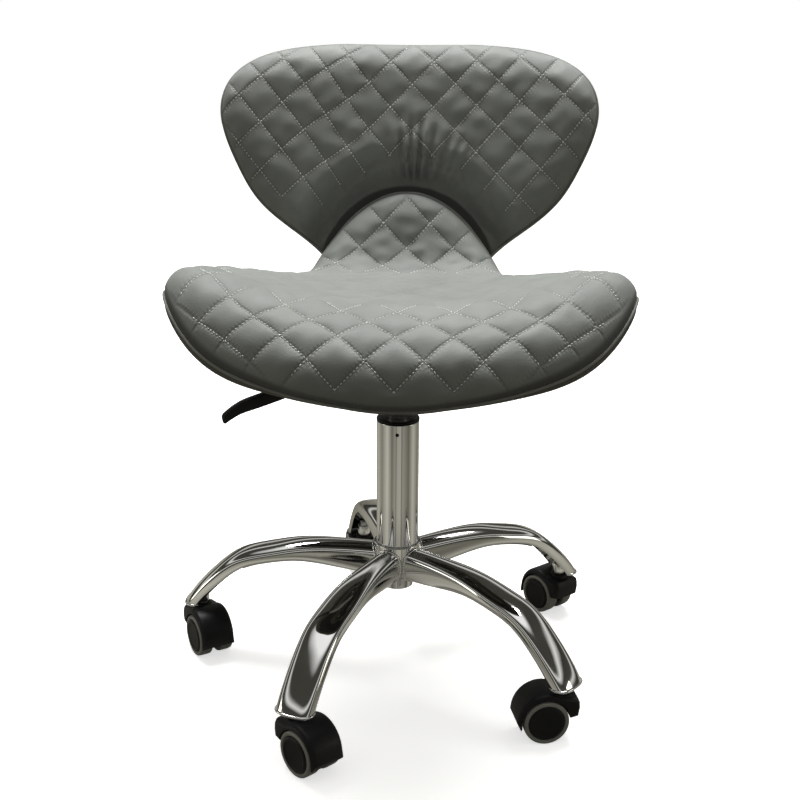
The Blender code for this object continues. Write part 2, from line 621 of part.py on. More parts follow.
def full_edge(half):
    """Evenly spaced closed outline from a half one, mirrored about x = 0."""
    curve = spline([(-x, s) for x, s in half[1:2]] + list(half) + [(-x, s) for x, s in half[-2:-1]], 12)
    right = [(float(x), float(s)) for x, s in resample(curve[12:-12], EDGE_POINTS // 2 + 1)]
    right[0] = (0.0, right[0][1])
    right[-1] = (0.0, right[-1][1])
    return right + [(-x, s) for x, s in reversed(right[1:-1])]


def padded_solid(outline, centre_s, rings, lower, upper):
    """Closed solid over an outline; lower and upper give points from (x, s, distance to the edge)."""
    count = len(outline)
    layers = []
    for surface in (upper, lower):
        rows = []
        for share in rings:
            row = []
            for x, s in outline:
                reach = math.hypot(x, s - centre_s)
                row.append(surface(x * share, centre_s + (s - centre_s) * share, reach * (1 - share)))
            rows.append(row)
        layers.append(rows)
    vertices = []
    middle = [upper(0.0, centre_s, 1.0), lower(0.0, centre_s, 1.0)]
    faces = []
    starts = []
    for layer in layers:
        starts.append(len(vertices))
        for row in layer:
            vertices += row
    top_pole = len(vertices)
    vertices += middle
    for layer, start in enumerate(starts):
        for k in range(count):
            after = (k + 1) % count
            faces.append((top_pole + layer, start + k, start + after))
            for r in range(len(rings) - 1):
                a = start + r * count
                b = a + count
                faces.append((a + k, b + k, b + after, a + after))
    top_rim, low_rim = (start + (len(rings) - 1) * count for start in starts)
    for k in range(count):
        after = (k + 1) % count
        faces.append((top_rim + k, low_rim + k, low_rim + after, top_rim + after))
    return mesh_from(vertices, faces)


def roll(edge, width):
    """Height share of a pad that rounds down over the given width to its edge."""
    if edge >= width:
        return 1.0
    return math.sqrt(1 - (1 - edge / width) ** 2)


def seat_pad_top(x, s, edge):
    thickness = blend((SEAT_PAD, TONGUE_PAD), ease(s, 0.28, 0.40))
    width = blend(SEAT_ROLL, ease(s, 0.28, 0.40))
    return seat_point(x, s, GAP + PAD_EDGE + thickness * roll(edge, width))


def tongue_cover(x, s):
    """0 behind the seat's tongue, 1 well clear of it."""
    z = BACK.point(s)[1]
    return ease(math.hypot(x / TONGUE_ARC[0], (z - TONGUE_ARC_Z) / TONGUE_ARC[1]), 1.0, 1.42)


def back_pad_top(x, s, edge):
    return back_point(x, s, GAP + PAD_EDGE + BACK_PAD * roll(edge, BACK_ROLL) * tongue_cover(x, s))


def clamp_frame():
    """Matrix of the clamp behind the backrest: local Z points forward, out of the shell."""
    centre = BACK.point(CLAMP_S)
    normal = BACK.normal(CLAMP_S)
    forward = Vector((0, normal[0], normal[1]))
    across = Vector((1, 0, 0))
    up = forward.cross(across)
    turn = Matrix((across, up, forward)).transposed().to_4x4()
    return Matrix.Translation((SEAT_SHIFT, centre[0], centre[1])) @ turn


def build_upholstery(shop, stool):
    clamp = clamp_frame()
    stud_holes = [moved(rod(0.0034, -0.02, 0.0102, 12), clamp @ Matrix.Translation((x, 0, 0)))
                  for x in (-STUD_SPREAD, STUD_SPREAD)]
    bolt_holes = [moved(rod(0.0033, 0.39, 0.4164, 12), Matrix.Translation((x, y, 0)))
                  for x, y in BOLT_PLACES]

    seat_outline = full_edge(seat_edge())
    seat_shell = padded_solid(seat_outline, SEAT_CENTRE_S, PATCH_RINGS,
                              lambda x, s, edge: seat_point(x, s, seat_underside(s, edge)),
                              lambda x, s, edge: seat_point(x, s, 0.0))
    shop.add("seat_shell", cut(seat_shell, *bolt_holes, *stud_holes), "shell_leather", stool)
    seat_pad = padded_solid(seat_outline, SEAT_CENTRE_S, PATCH_RINGS,
                            lambda x, s, edge: seat_point(x, s, GAP), seat_pad_top)
    shop.add("seat_cushion", seat_pad, "grey_leather", stool, smooth_deg=70)

    back_outline = full_edge(back_edge())
    back_shell = padded_solid(back_outline, BACK_CENTRE_S, PATCH_RINGS,
                              lambda x, s, edge: back_point(x, s, -SHELL_THICKNESS),
                              lambda x, s, edge: back_point(x, s, 0.0))
    shop.add("back_shell", cut(back_shell, *stud_holes), "shell_leather", stool)
    back_pad = padded_solid(back_outline, BACK_CENTRE_S, PATCH_RINGS,
                            lambda x, s, edge: back_point(x, s, GAP), back_pad_top)
    shop.add("back_cushion", cut(back_pad, *stud_holes), "grey_leather", stool, smooth_deg=70)
    build_clamp(shop, stool, clamp)


def build_clamp(shop, stool, clamp):
    """Steel strap with two studs that ties the backrest to the seat's tongue."""
    rear = -SHELL_THICKNESS - 0.0008
    width, height, sheet = CLAMP_SIZE
    strap = block((-width / 2, -height / 2, rear - sheet), (width / 2, height / 2, rear))
    stud = rod(0.0030, rear - 0.0015, 0.0095, 12)
    for x in (-STUD_SPREAD, STUD_SPREAD):
        strap = combine(strap, moved(stud, Matrix.Translation((x, 0, 0))), "UNION")
    shop.add("back_clamp", moved(strap, clamp), "steel", stool)


def build():
    for item in list(bpy.data.objects):
        bpy.data.objects.remove(item)
    shop = Workshop()
    stool = shop.frame("stool", location=(COLUMN_OFFSET[0], COLUMN_OFFSET[1], 0))
    build_base(shop, stool)
    build_column(shop, stool)
    build_mechanism(shop, stool)
    build_upholstery(shop, stool)


build()
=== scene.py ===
"""Looks of the rolling stylist stool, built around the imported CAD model.

Metres, +Z up, the sitter faces -Y.  Bodies, joints and boxes come from the frame; the upholstery's
profiles repeat the design's own driving points, laid out about the column's axis.
"""

import json
import math

import bmesh
import bpy
import numpy as np
from mathutils import Matrix, Vector
from mathutils.bvhtree import BVHTree


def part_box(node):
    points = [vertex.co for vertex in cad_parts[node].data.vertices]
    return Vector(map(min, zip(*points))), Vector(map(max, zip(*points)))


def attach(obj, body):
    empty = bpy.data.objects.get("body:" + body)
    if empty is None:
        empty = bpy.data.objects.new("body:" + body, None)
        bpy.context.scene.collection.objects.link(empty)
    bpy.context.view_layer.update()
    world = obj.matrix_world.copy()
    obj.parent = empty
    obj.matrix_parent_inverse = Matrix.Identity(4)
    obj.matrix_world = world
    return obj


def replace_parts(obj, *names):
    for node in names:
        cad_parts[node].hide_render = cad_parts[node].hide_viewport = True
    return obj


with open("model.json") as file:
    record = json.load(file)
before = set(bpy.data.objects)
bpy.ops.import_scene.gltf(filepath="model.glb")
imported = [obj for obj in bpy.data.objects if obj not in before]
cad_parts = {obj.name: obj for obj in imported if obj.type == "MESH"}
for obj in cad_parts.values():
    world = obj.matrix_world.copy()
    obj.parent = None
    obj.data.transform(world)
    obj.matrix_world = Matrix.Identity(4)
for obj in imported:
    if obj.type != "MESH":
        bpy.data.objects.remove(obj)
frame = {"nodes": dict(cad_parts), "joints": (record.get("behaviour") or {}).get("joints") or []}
NODES = frame["nodes"]
JOINTS = {joint["name"]: joint for joint in frame["joints"]}
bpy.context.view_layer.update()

# ---- Places taken from the frame ----------------------------------------------------------------
COLUMN_LOW, COLUMN_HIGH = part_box("column_tube")
AXIS = Vector(((COLUMN_LOW.x + COLUMN_HIGH.x) / 2, (COLUMN_LOW.y + COLUMN_HIGH.y) / 2, 0))
COLUMN_RADIUS = (COLUMN_HIGH.x - COLUMN_LOW.x) / 2
COLUMN_TOP = COLUMN_HIGH.z
HUB_LOW, HUB_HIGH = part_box("base_hub")
HUB_RADIUS = (HUB_HIGH.x - HUB_LOW.x) / 2
COLLAR_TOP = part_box("guide_bush")[1].z
LEG_RIM_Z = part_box("base_leg_1")[0].z
CASTERS = 5
CLEARANCE = 0.0003              # left between pieces that fit into each other

# ---- Legs ---------------------------------------------------------------------------------------
LEG_CREST = ((0.0240, 0.1535), (0.0800, 0.1547), (0.1220, 0.1516), (0.1600, 0.1432),
             (0.1960, 0.1320), (0.2260, 0.1095), (0.2510, 0.0830), (0.2650, 0.0620), (0.2710, 0.0460))
LEG_STATIONS = 70
LEG_DEPTH = (0.0395, 0.021)     # section height at the hub and at the tip
LEG_WIDTH = (0.031, 0.0425)     # section width at the hub and at the tip
LEG_WALL = 0.0020
LEG_OPEN_FROM = 0.196           # from this radius outwards the leg is an open channel
RIM_BEAD = 0.0015
TIP_RIM_REACH = 0.019           # how far back from the tip the rolled edge runs
WELD_RADIUS = 0.0016
CRIMPS = 5
CRIMP_DEPTH = 0.0022
STEM_RADIUS = 0.0055
SLEEVE_RADIUS = 0.0088
SLEEVE_TOP = 0.0730

# ---- Casters, in caster coordinates: swivel axis on Z, wheels trailing along +X -----------------
AXLE = Vector(JOINTS["caster_1_spin_left"]["pos_m"])
STEM = Vector(JOINTS["caster_1_swivel"]["pos_m"])
TRAIL = (AXLE.xy - STEM.xy).length
WHEEL_INNER = 0.0046
WHEEL_OUTER = 0.0222
TREAD_INNER_RADIUS = 0.0203
HOOD_HEIGHT = 0.0340
HOOD_TAIL = 0.0320
HOOD_FRONT = -0.0180
HOOD_HALF_WIDTH = 0.0208
HOOD_EDGE = 0.0060
HOOD_WEB = 0.0040
HOOD_POCKET_RADIUS = 0.0275

# ---- Gas lift and lever, about the column's axis ------------------------------------------------
TUBE_RADIUS = 0.0140
TAPER_RADIUS = 0.0132
PADDLE_ROUTE = ((-0.124, 0.3465), (-0.140, 0.3415), (-0.168, 0.3315), (-0.186, 0.3240), (-0.2065, 0.3085))

# ---- Upholstery ---------------------------------------------------------------------------------
SEAT_SHIFT = 0.0033             # the upholstery sits this far beside the column, towards +X
SHELL_THICKNESS = 0.0116
SEAT_SHELL_EXTRA = 0.0012       # how much thicker the seat's shell is at its rim, except on the tongue
SHELL_ROUNDING = 0.0036
SHELL_AROUND = 420
PIPING_RADIUS = 0.0017
SEAT_SPINE = ((-0.200, 0.3830), (-0.180, 0.4080), (-0.120, 0.4298), (-0.055, 0.4225), (0.010, 0.4200),
              (0.080, 0.4200), (0.150, 0.4480), (0.1835, 0.4980), (0.196, 0.5480))
SEAT_HALF_WIDTH = 0.2525
SEAT_WIDEST_Y = -0.070
SEAT_FRONT_REACH = 0.130
SEAT_REAR_EDGE = ((0.2465, 0.195), (0.2270, 0.238), (0.1940, 0.275), (0.1620, 0.305), (0.1380, 0.335),
                  (0.1210, 0.365), (0.1085, 0.395), (0.0950, 0.420), (0.0760, 0.447), (0.0500, 0.470))
SEAT_CENTRE_S = 0.215
FLAT_HALF_WIDTH = 0.050
WING_RISE = (-0.0270, 0.0480, 0.0390)
SEAT_PAD = 0.0390
TONGUE_PAD = 0.0250
SEAT_PAD_ROLL = 0.050           # how far in from its edge a pad rounds down
TONGUE_PAD_ROLL = 0.036
BACK_SPINE = ((0.1850, 0.4400), (0.2025, 0.5000), (0.2170, 0.5600), (0.2430, 0.6500), (0.2678, 0.7257))
BACK_EDGE = ((0.0500, 0.002), (0.0850, 0.010), (0.1110, 0.034), (0.1530, 0.067), (0.1900, 0.100),
             (0.2160, 0.143), (0.2325, 0.183), (0.2368, 0.212), (0.2268, 0.2455), (0.2030, 0.2690),
             (0.1670, 0.2850), (0.1280, 0.2930), (0.0700, 0.2978))
BACK_CENTRE_S = 0.185
BACK_PAD = 0.0300
BACK_PAD_ROLL = 0.045
BACK_WING_CURVE = 0.022         # how far the backrest's sides come forward
BACK_HALF_WIDTH = 0.240
TONGUE_ARC = (0.112, 0.118)     # half width and height of the arc where the tongue meets the backrest
TONGUE_ARC_Z = 0.440
CREASE_ARC_HEIGHT = 0.1140      # the crease runs a little inside that arc
UNDER_GAP = 0.0004              # a pad's lower face stands this far off its shell
DUST_COVER_OUT = (-0.0118, -0.0122, -0.0124)   # its upper face, its edge and its lower face
PAD_EDGE = 0.0015

# Quilting.  A row is where seams cross; rows are half a diamond apart along the spine.
SEAT_ROWS = ((0.012, 0), (0.033, 1), (0.053, 2), (0.0715, 3), (0.091, 4), (0.371, 13), (0.407, 14),
             (0.445, 15), (0.481, 16))
SEAT_DIAMOND = 0.0580           # width of one diamond
BACK_ROWS = ((0.0, -8.4), (0.240, 0), (0.300, 2.1))
BACK_DIAMOND = 0.0540
BACK_QUILT_CENTRE = 0.004
SEAT_QUILT_DEPTH = 0.0034
BACK_QUILT_DEPTH = 0.0020
STITCHES_PER_SIDE = 9
SEAM_GROOVE = 0.0030            # half width of the groove and of the small puckers beside a seam
SEAM_PUCKER = 0.0065
PUCKER_DEPTH = 0.0032           # folds above the tongue
LEATHER_WAVE = 0.0006           # slow unevenness of the covers
LEATHER_COLOUR = (0.215, 0.226, 0.213)
PAINTED_SHADE_COLOUR = (0.012, 0.012, 0.010)   # painted shade in the crease where the tongue meets the backrest, and at each cushion's rim by the piping
STITCH_PITCH = 0.0044
STITCH_LENGTH = 0.0030
STITCH_MARGIN = 0.0085          # no thread this close to a cushion's rim
THREAD_RADIUS = 0.00050
OUTLINE_POINTS = 1200           # of an outline that distances are measured to

FINE_AROUND = 840               # points round a fine cushion
FINE_RINGS = 140
CLOTH_AROUND = 260
CLOTH_RINGS = 40
CLOTH_FRAMES = 20
CLOTH_CAP = 0.0060
CLOTH_SETTINGS = {"quality": 6, "mass": 0.25, "tension_stiffness": 12, "compression_stiffness": 8,
                  "shear_stiffness": 6, "bending_stiffness": 0.4, "use_pressure": True,
                  "uniform_pressure_force": 4.0, "vertex_group_mass": "sewn", "pin_stiffness": 2.0}

# ---- Room ---------------------------------------------------------------------------------------
FLOOR_COLOUR = (0.90, 0.90, 0.90)
FLOOR_BOUNCE = (0.10, 0.095, 0.075)
FLOOR_REFLECTION = (1.0, 0.975, 0.86)
FLOOR_GLOW = (0.62, 0.90)       # near the stool and far from it
# What the chrome sees of the floor round the column, and of the room by height: (share, brightness).
FLOOR_STRIPES = ((0.0, 0.10), (0.10, 0.42), (0.17, 0.06), (0.22, 0.22), (0.232, 0.04), (0.245, 0.26),
                 (0.30, 0.30), (0.312, 0.05), (0.33, 0.20), (0.42, 0.03), (0.50, 0.34), (0.60, 0.05),
                 (0.70, 0.30), (0.80, 0.06), (0.90, 0.30), (1.0, 0.10))
WARMTH = 0.20
BACKDROP = (1.0, 1.0, 1.0)
SKY_BANDS = ((0.0, 0.01), (0.50, 0.02), (0.62, 0.08), (1.0, 0.55))
ROOM_BANDS = ((0.0, 0.30), (0.495, 0.25), (0.505, 0.03), (0.565, 0.05), (0.61, 0.70), (0.64, 0.06),
              (0.71, 0.04), (0.75, 0.80), (0.79, 0.05), (0.90, 0.05), (0.95, 0.95), (1.0, 1.0))
OVERHEAD_POWER = 77
SIDE_FILL_POWER = 3.4
SIDE_FILL_COLOUR = (1.0, 0.96, 0.84)
CAMERA_LENS = 53.24
CAMERA_SENSOR = 36
CAMERA_TURN = 2.0               # degrees round the column, towards +X
CAMERA_AIM = 0.057              # degrees that it looks aside of the column
CAMERA_DOWN = 17.166
CAMERA_ROLL = 0.378
CAMERA_PLACE = (0.0, -1.3156, 0.7403)
CAMERA_SHIFT = (-0.0008, 0.0, 0.0)


# ---- Small helpers ------------------------------------------------------------------------------
def ease(value, low, high):
    """Smooth step from 0 at low to 1 at high, for numbers and arrays."""
    t = np.clip((np.asarray(value, float) - low) / (high - low), 0, 1)
    return t * t * (3 - 2 * t)


def mix(a, b, t):
    return a + (b - a) * t


def spline(points, steps):
    """Natural cubic curve through the points, sampled with the given steps on each span."""
    knots = np.array(points, float)
    length = np.r_[0, np.cumsum(np.linalg.norm(np.diff(knots, axis=0), axis=1))]
    step = np.diff(length)
    count = len(knots)
    system = np.eye(count)
    right = np.zeros_like(knots)
    slope = np.diff(knots, axis=0) / step[:, None]
    for i in range(1, count - 1):
        system[i, i - 1:i + 2] = step[i - 1], 2 * (step[i - 1] + step[i]), step[i]
        right[i] = 6 * (slope[i] - slope[i - 1])
    bend = np.linalg.solve(system, right)
    curve = []
    for i in range(count - 1):
        for b in np.arange(steps) / steps:
            a = 1 - b
            curve.append(a * knots[i] + b * knots[i + 1]
                         + step[i] ** 2 / 6 * ((a ** 3 - a) * bend[i] + (b ** 3 - b) * bend[i + 1]))
    curve.append(knots[-1])
    return np.array(curve)


def resample(curve, count):
    """The given number of evenly spaced points along a dense curve."""
    length = np.r_[0, np.cumsum(np.linalg.norm(np.diff(curve, axis=0), axis=1))]
    places = np.linspace(0, length[-1], count)
    return np.column_stack([np.interp(places, length, curve[:, i]) for i in range(curve.shape[1])])


def wobble(points, scale, seed):
    """Smooth pseudo-random field in -1..1 on an array of points, from a few crossed waves."""
    field = np.zeros(len(points))
    source = np.random.default_rng(seed)
    for _ in range(7):
        direction = source.normal(size=points.shape[1])
        direction *= source.uniform(0.6, 1.6) / np.linalg.norm(direction)
        field += np.sin(points @ direction * (2 * math.pi / scale) + source.uniform(0, 2 * math.pi))
    return field / 3.5


def raw_mesh(name, vertices, faces):
    mesh = bpy.data.meshes.new(name)
    mesh.from_pydata(vertices, [], faces)
    return mesh


def add_piece(name, mesh, material, body, smooth_deg, place=None):
    """A piece that rides on a body and takes the given finish.

    A mesh that several pieces share gets its material and shading from the first of them."""
    piece = bpy.data.objects.new(name, mesh)
    bpy.context.scene.collection.objects.link(piece)
    if not mesh.materials:
        mesh.materials.append(material)
        mesh.shade_smooth()
        mesh.set_sharp_from_angle(angle=math.radians(smooth_deg))
    if place is not None:
        piece.matrix_world = place
    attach(piece, body)
    return piece


def outward(mesh, weld=None):
    """Turns a mesh's faces outwards, once points closer than weld are welded."""
    work = bmesh.new()
    work.from_mesh(mesh)
    if weld:
        bmesh.ops.remove_doubles(work, verts=work.verts, dist=weld)
    bmesh.ops.recalc_face_normals(work, faces=work.faces)
    work.to_mesh(mesh)
    work.free()
    return mesh


def closed_mesh(name, vertices, faces):
    return outward(raw_mesh(name, vertices, faces), 1e-6)


def loft(name, rings, closed=False):
    """Skin equal rings of points; the two ends are capped unless the rings close on themselves."""
    count = len(rings[0])
    vertices = [tuple(point) for ring in rings for point in ring]
    faces = []
    for i in range(len(rings) if closed else len(rings) - 1):
        a = i * count
        b = (i + 1) % len(rings) * count
        for k in range(count):
            after = (k + 1) % count
            faces.append((a + k, a + after, b + after, b + k))
    if not closed:
        faces.append(tuple(range(count)))
        faces.append(tuple(range((len(rings) - 1) * count, len(rings) * count)))
    return closed_mesh(name, vertices, faces)


def rounded(profile, radius, steps=4):
    """Profile with each of its off-axis corners cut by a small arc."""
    points = [np.array(p, float) for p in profile]
    smooth = []
    for i, corner in enumerate(points):
        if corner[0] == 0:
            smooth.append(tuple(corner))
            continue
        before = points[i - 1] - corner
        after = points[(i + 1) % len(points)] - corner
        cut = min(radius, 0.45 * np.linalg.norm(before), 0.45 * np.linalg.norm(after))
        start = corner + before / np.linalg.norm(before) * cut
        end = corner + after / np.linalg.norm(after) * cut
        for t in np.linspace(0, 1, steps + 1):
            smooth.append(tuple((1 - t) ** 2 * start + 2 * t * (1 - t) * corner + t ** 2 * end))
    return smooth


def turned(name, profile, sides=72, shape=None):
    """Solid of revolution about Z from a closed (radius, z) profile; radius 0 gives a pole.
    shape(radius, angle, z) may push the radius in or out."""
    vertices = []
    places = []
    for radius, z in profile:
        if radius == 0:
            places.append([len(vertices)] * sides)
            vertices.append((0, 0, z))
            continue
        places.append(list(range(len(vertices), len(vertices) + sides)))
        for k in range(sides):
            turn = 2 * math.pi * k / sides
            r = shape(radius, turn, z) if shape else radius
            vertices.append((r * math.cos(turn), r * math.sin(turn), z))
    faces = []
    for i, ring in enumerate(places):
        below = places[(i + 1) % len(places)]
        if profile[i][0] == 0 and profile[(i + 1) % len(places)][0] == 0:
            continue
        for k in range(sides):
            after = (k + 1) % sides
            faces.append(tuple(dict.fromkeys((ring[k], ring[after], below[after], below[k]))))
    return closed_mesh(name, vertices, faces)


def tube(name, path, radius, sides=12, closed=True):
    """Round tube along a path of points; radius is a number or one number for each point."""
    path = np.asarray(path, float)
    count = len(path)
    radii = np.broadcast_to(radius, count)
    if closed:
        run = np.roll(path, -1, axis=0) - np.roll(path, 1, axis=0)
    else:
        run = np.gradient(path, axis=0)
    run /= np.linalg.norm(run, axis=1)[:, None]
    up = np.array([0.0, 0.0, 1.0]) if abs(run[0][2]) < 0.9 else np.array([1.0, 0.0, 0.0])
    rings = []
    for i in range(count):
        side = np.cross(run[i], up)
        side /= np.linalg.norm(side)
        up = np.cross(side, run[i])
        turns = 2 * math.pi * np.arange(sides) / sides
        rings.append(path[i] + radii[i] * (np.cos(turns)[:, None] * side + np.sin(turns)[:, None] * up))
    return loft(name, rings, closed)


def combine(mesh, other, operation):
    """EXACT boolean of two closed meshes."""
    body = bpy.data.objects.new("body", mesh)
    tool = bpy.data.objects.new("tool", other)
    for item in (body, tool):
        bpy.context.scene.collection.objects.link(item)
    cut = body.modifiers.new("cut", "BOOLEAN")
    cut.operation = operation
    cut.solver = "EXACT"
    cut.object = tool
    result = bpy.data.meshes.new_from_object(body.evaluated_get(bpy.context.evaluated_depsgraph_get()))
    bpy.data.objects.remove(body)
    bpy.data.objects.remove(tool)
    return result


def moved(mesh, matrix):
    copy = mesh.copy()
    copy.transform(matrix)
    return copy


# ---- Materials ----------------------------------------------------------------------------------
class Shader:
    """A Principled material and the few nodes that its detail needs."""

    def __init__(self, name, colour, roughness, metallic=0.0):
        self.material = bpy.data.materials.new(name)
        self.material.use_nodes = True
        self.tree = self.material.node_tree
        self.main = self.tree.nodes["Principled BSDF"]
        self.main.inputs["Base Color"].default_value = (*colour, 1)
        self.main.inputs["Roughness"].default_value = roughness
        self.main.inputs["Metallic"].default_value = metallic
        self.bump = None

    def node(self, kind, **inputs):
        node = self.tree.nodes.new(kind)
        for key, value in inputs.items():
            node.inputs[key.replace("_", " ")].default_value = value
        return node

    def link(self, source, target):
        self.tree.links.new(source, target)

    def place(self):
        """The piece's own coordinates, in metres."""
        return self.node("ShaderNodeTexCoord").outputs["Object"]

    def noise(self, scale, detail, rough=0.5):
        noise = self.node("ShaderNodeTexNoise", Scale=scale, Detail=detail, Roughness=rough)
        self.link(self.place(), noise.inputs["Vector"])
        return noise.outputs["Fac"]

    def cells(self, scale, feature="F1"):
        cells = self.node("ShaderNodeTexVoronoi", Scale=scale)
        cells.feature = feature
        self.link(self.place(), cells.inputs["Vector"])
        return cells.outputs["Distance"]

    def attribute(self, name):
        node = self.node("ShaderNodeAttribute")
        node.attribute_name = name
        return node.outputs["Fac"]

    def spread(self, source, low, high, to_low, to_high):
        node = self.node("ShaderNodeMapRange", From_Min=low, From_Max=high, To_Min=to_low, To_Max=to_high)
        self.link(source, node.inputs["Value"])
        return node.outputs["Result"]

    def fall(self, source, low, high):
        """1 at low, down to 0 at high, smoothly."""
        node = self.node("ShaderNodeMapRange", From_Min=low, From_Max=high, To_Min=1.0, To_Max=0.0)
        node.interpolation_type = "SMOOTHSTEP"
        self.link(source, node.inputs["Value"])
        return node.outputs["Result"]

    def maths(self, operation, a, b):
        node = self.node("ShaderNodeMath")
        node.operation = operation
        for socket, value in zip(node.inputs, (a, b)):
            if isinstance(value, (int, float)):
                socket.default_value = value
            else:
                self.link(value, socket)
        return node.outputs["Value"]

    def blend(self, factor, low, high):
        """Colour that runs from low to high with a factor; each is a colour or a socket."""
        node = self.node("ShaderNodeMix")
        node.data_type = "RGBA"
        for socket, value in ((node.inputs["A"], low), (node.inputs["B"], high)):
            if isinstance(value, tuple):
                socket.default_value = (*value, 1)
            else:
                self.link(value, socket)
        self.link(factor, node.inputs["Factor"])
        return node.outputs["Result"]

    def tint(self, factor, low, high):
        self.link(self.blend(factor, low, high), self.main.inputs["Base Color"])

    def roughen(self, factor, low, high):
        self.link(self.spread(factor, 0.3, 0.7, low, high), self.main.inputs["Roughness"])

    def raise_by(self, height, distance, strength=1.0):
        """Adds one more bump, on top of those already there."""
        node = self.node("ShaderNodeBump", Strength=strength, Distance=distance)
        self.link(height, node.inputs["Height"])
        if self.bump is not None:
            self.link(self.bump, node.inputs["Normal"])
        self.bump = node.outputs["Normal"]
        self.link(self.bump, self.main.inputs["Normal"])


def plain_material(name, colour, roughness, metallic=0.0, shades=None, gloss=None, bump=None,
                   specular=None):
    """A finish from noises: shades and gloss are (noise, low, high), bump is (noise, distance, strength)."""
    shader = Shader(name, colour, roughness, metallic)
    if shades:
        shader.tint(shader.noise(*shades[0]), *shades[1:])
    if gloss:
        shader.roughen(shader.noise(*gloss[0]), *gloss[1:])
    if bump:
        shader.raise_by(shader.noise(*bump[0]), *bump[1:])
    if specular is not None:
        shader.main.inputs["Specular IOR Level"].default_value = specular
    return shader.material


def leather_shader(name, colour, roughness):
    """Soft artificial leather with a pebbled grain and faint creases, its colour still to be linked."""
    shader = Shader(name, colour, roughness)
    shader.tone = shader.spread(shader.noise(14, 4, 0.55), 0.3, 0.7, 0.35, 0.65)
    shader.shades = (tuple(0.62 * c for c in colour), tuple(1.38 * c for c in colour))
    shader.roughen(shader.noise(420, 4), roughness - 0.07, roughness + 0.09)
    shader.main.inputs["Specular IOR Level"].default_value = 0.32
    shader.raise_by(shader.noise(120, 4, 0.6), 0.0006, 0.35)
    shader.raise_by(shader.cells(1100, "SMOOTH_F1"), 0.00022, 0.55)
    shader.main.inputs["Sheen Weight"].default_value = 0.08
    shader.main.inputs["Sheen Roughness"].default_value = 0.4
    return shader


def leather_material(name, colour, roughness):
    shader = leather_shader(name, colour, roughness)
    shader.tint(shader.tone, *shader.shades)
    return shader.material


def quilted_material(name, colour, roughness, diamond):
    """Leather drawn in along its stitched seams, from the counts that the cushion's mesh carries, with
    painted shade in the seam grooves, in the crease by the tongue and at the rim.
    """
    side = diamond / math.sqrt(2)
    shader = leather_shader(name, colour, roughness)
    counts = [shader.attribute("quilt_first"), shader.attribute("quilt_second")]
    pulls = []
    ripples = []
    for own, other in (counts, counts[::-1]):
        gap = shader.maths("MULTIPLY", shader.maths("PINGPONG", own, 0.5), side)
        wave = shader.maths("SINE", shader.maths("MULTIPLY", other, 2 * math.pi * STITCHES_PER_SIDE), 0.0)
        scallop = shader.spread(wave, -1, 1, 0.45, 1.0)
        pulls.append(shader.maths("MULTIPLY", shader.fall(gap, 0.0, SEAM_GROOVE), scallop))
        ripples.append(shader.maths("MULTIPLY", shader.fall(gap, 0.0006, SEAM_PUCKER), wave))
    sewn = shader.attribute("quilt_sewn")
    pull = shader.maths("MULTIPLY", shader.maths("MAXIMUM", *pulls), sewn)
    ripple = shader.maths("MULTIPLY", shader.maths("ADD", *ripples), sewn)
    shader.raise_by(shader.maths("SUBTRACT", 1.0, pull), 0.0010, 0.7)
    shader.raise_by(ripple, 0.00028, 0.55)
    # Painted shade: the leather is darker along the seam grooves, where it is drawn in.
    darker = shader.maths("MULTIPLY", pull, 0.26)
    cover = shader.blend(shader.maths("SUBTRACT", shader.tone, darker), *shader.shades)
    # Painted shade: the cover runs to near black in the crease round the tongue and in the seam by the
    # piping.
    shader.tint(shader.attribute("quilt_shade"), cover, PAINTED_SHADE_COLOUR)
    return shader.material


def dust_cover_material():
    """Black non-woven dust cover."""
    shader = Shader("black_dust_cover", (0.012, 0.012, 0.013), 0.85)
    shader.tint(shader.noise(700, 4, 0.7), (0.007, 0.007, 0.008), (0.022, 0.022, 0.023))
    shader.raise_by(shader.cells(420), 0.0004, 0.7)
    return shader.material


CHROME = plain_material("polished_chrome", (0.80, 0.80, 0.79), 0.06, 1.0,
                        gloss=((38, 4, 0.6), 0.035, 0.10), bump=((26, 2, 0.5), 0.0005, 0.35))
STEEL = plain_material("zinc_steel", (0.56, 0.57, 0.58), 0.34, 1.0,
                       shades=((160, 4), (0.46, 0.47, 0.48), (0.62, 0.62, 0.61)),
                       gloss=((240, 3), 0.26, 0.42))
NYLON = plain_material("moulded_black_nylon", (0.0050, 0.0050, 0.0055), 0.40,
                       shades=((60, 4), (0.0035, 0.0035, 0.0040), (0.0080, 0.0080, 0.0085)),
                       gloss=((420, 4), 0.34, 0.48), bump=((1500, 2), 0.0001, 0.5), specular=0.22)
TREAD = plain_material("grey_soft_tread", (0.26, 0.265, 0.235), 0.5,
                       shades=((90, 5, 0.6), (0.22, 0.225, 0.20), (0.31, 0.315, 0.285)),
                       gloss=((300, 4), 0.42, 0.60), bump=((1100, 3), 0.00015, 0.6))
POWDER = plain_material("black_powder_coat", (0.022, 0.022, 0.024), 0.5,
                        shades=((200, 3), (0.016, 0.016, 0.018), (0.030, 0.030, 0.032)),
                        bump=((1400, 3), 0.00012, 0.8))
SEAT_LEATHER = quilted_material("seat_quilted_leather", LEATHER_COLOUR, 0.60, SEAT_DIAMOND)
BACK_LEATHER = quilted_material("back_quilted_leather", LEATHER_COLOUR, 0.60, BACK_DIAMOND)
BAND = leather_material("shell_band_leather", (0.100, 0.100, 0.082), 0.62)
PIPING = leather_material("piping_leather", (0.215, 0.222, 0.205), 0.50)
THREAD = plain_material("stitching_thread", (0.72, 0.73, 0.70), 0.6,
                        shades=((900, 3), (0.62, 0.63, 0.60), (0.84, 0.85, 0.82)),
                        bump=((3200, 2), 0.0001, 0.8))
DUST_COVER = dust_cover_material()


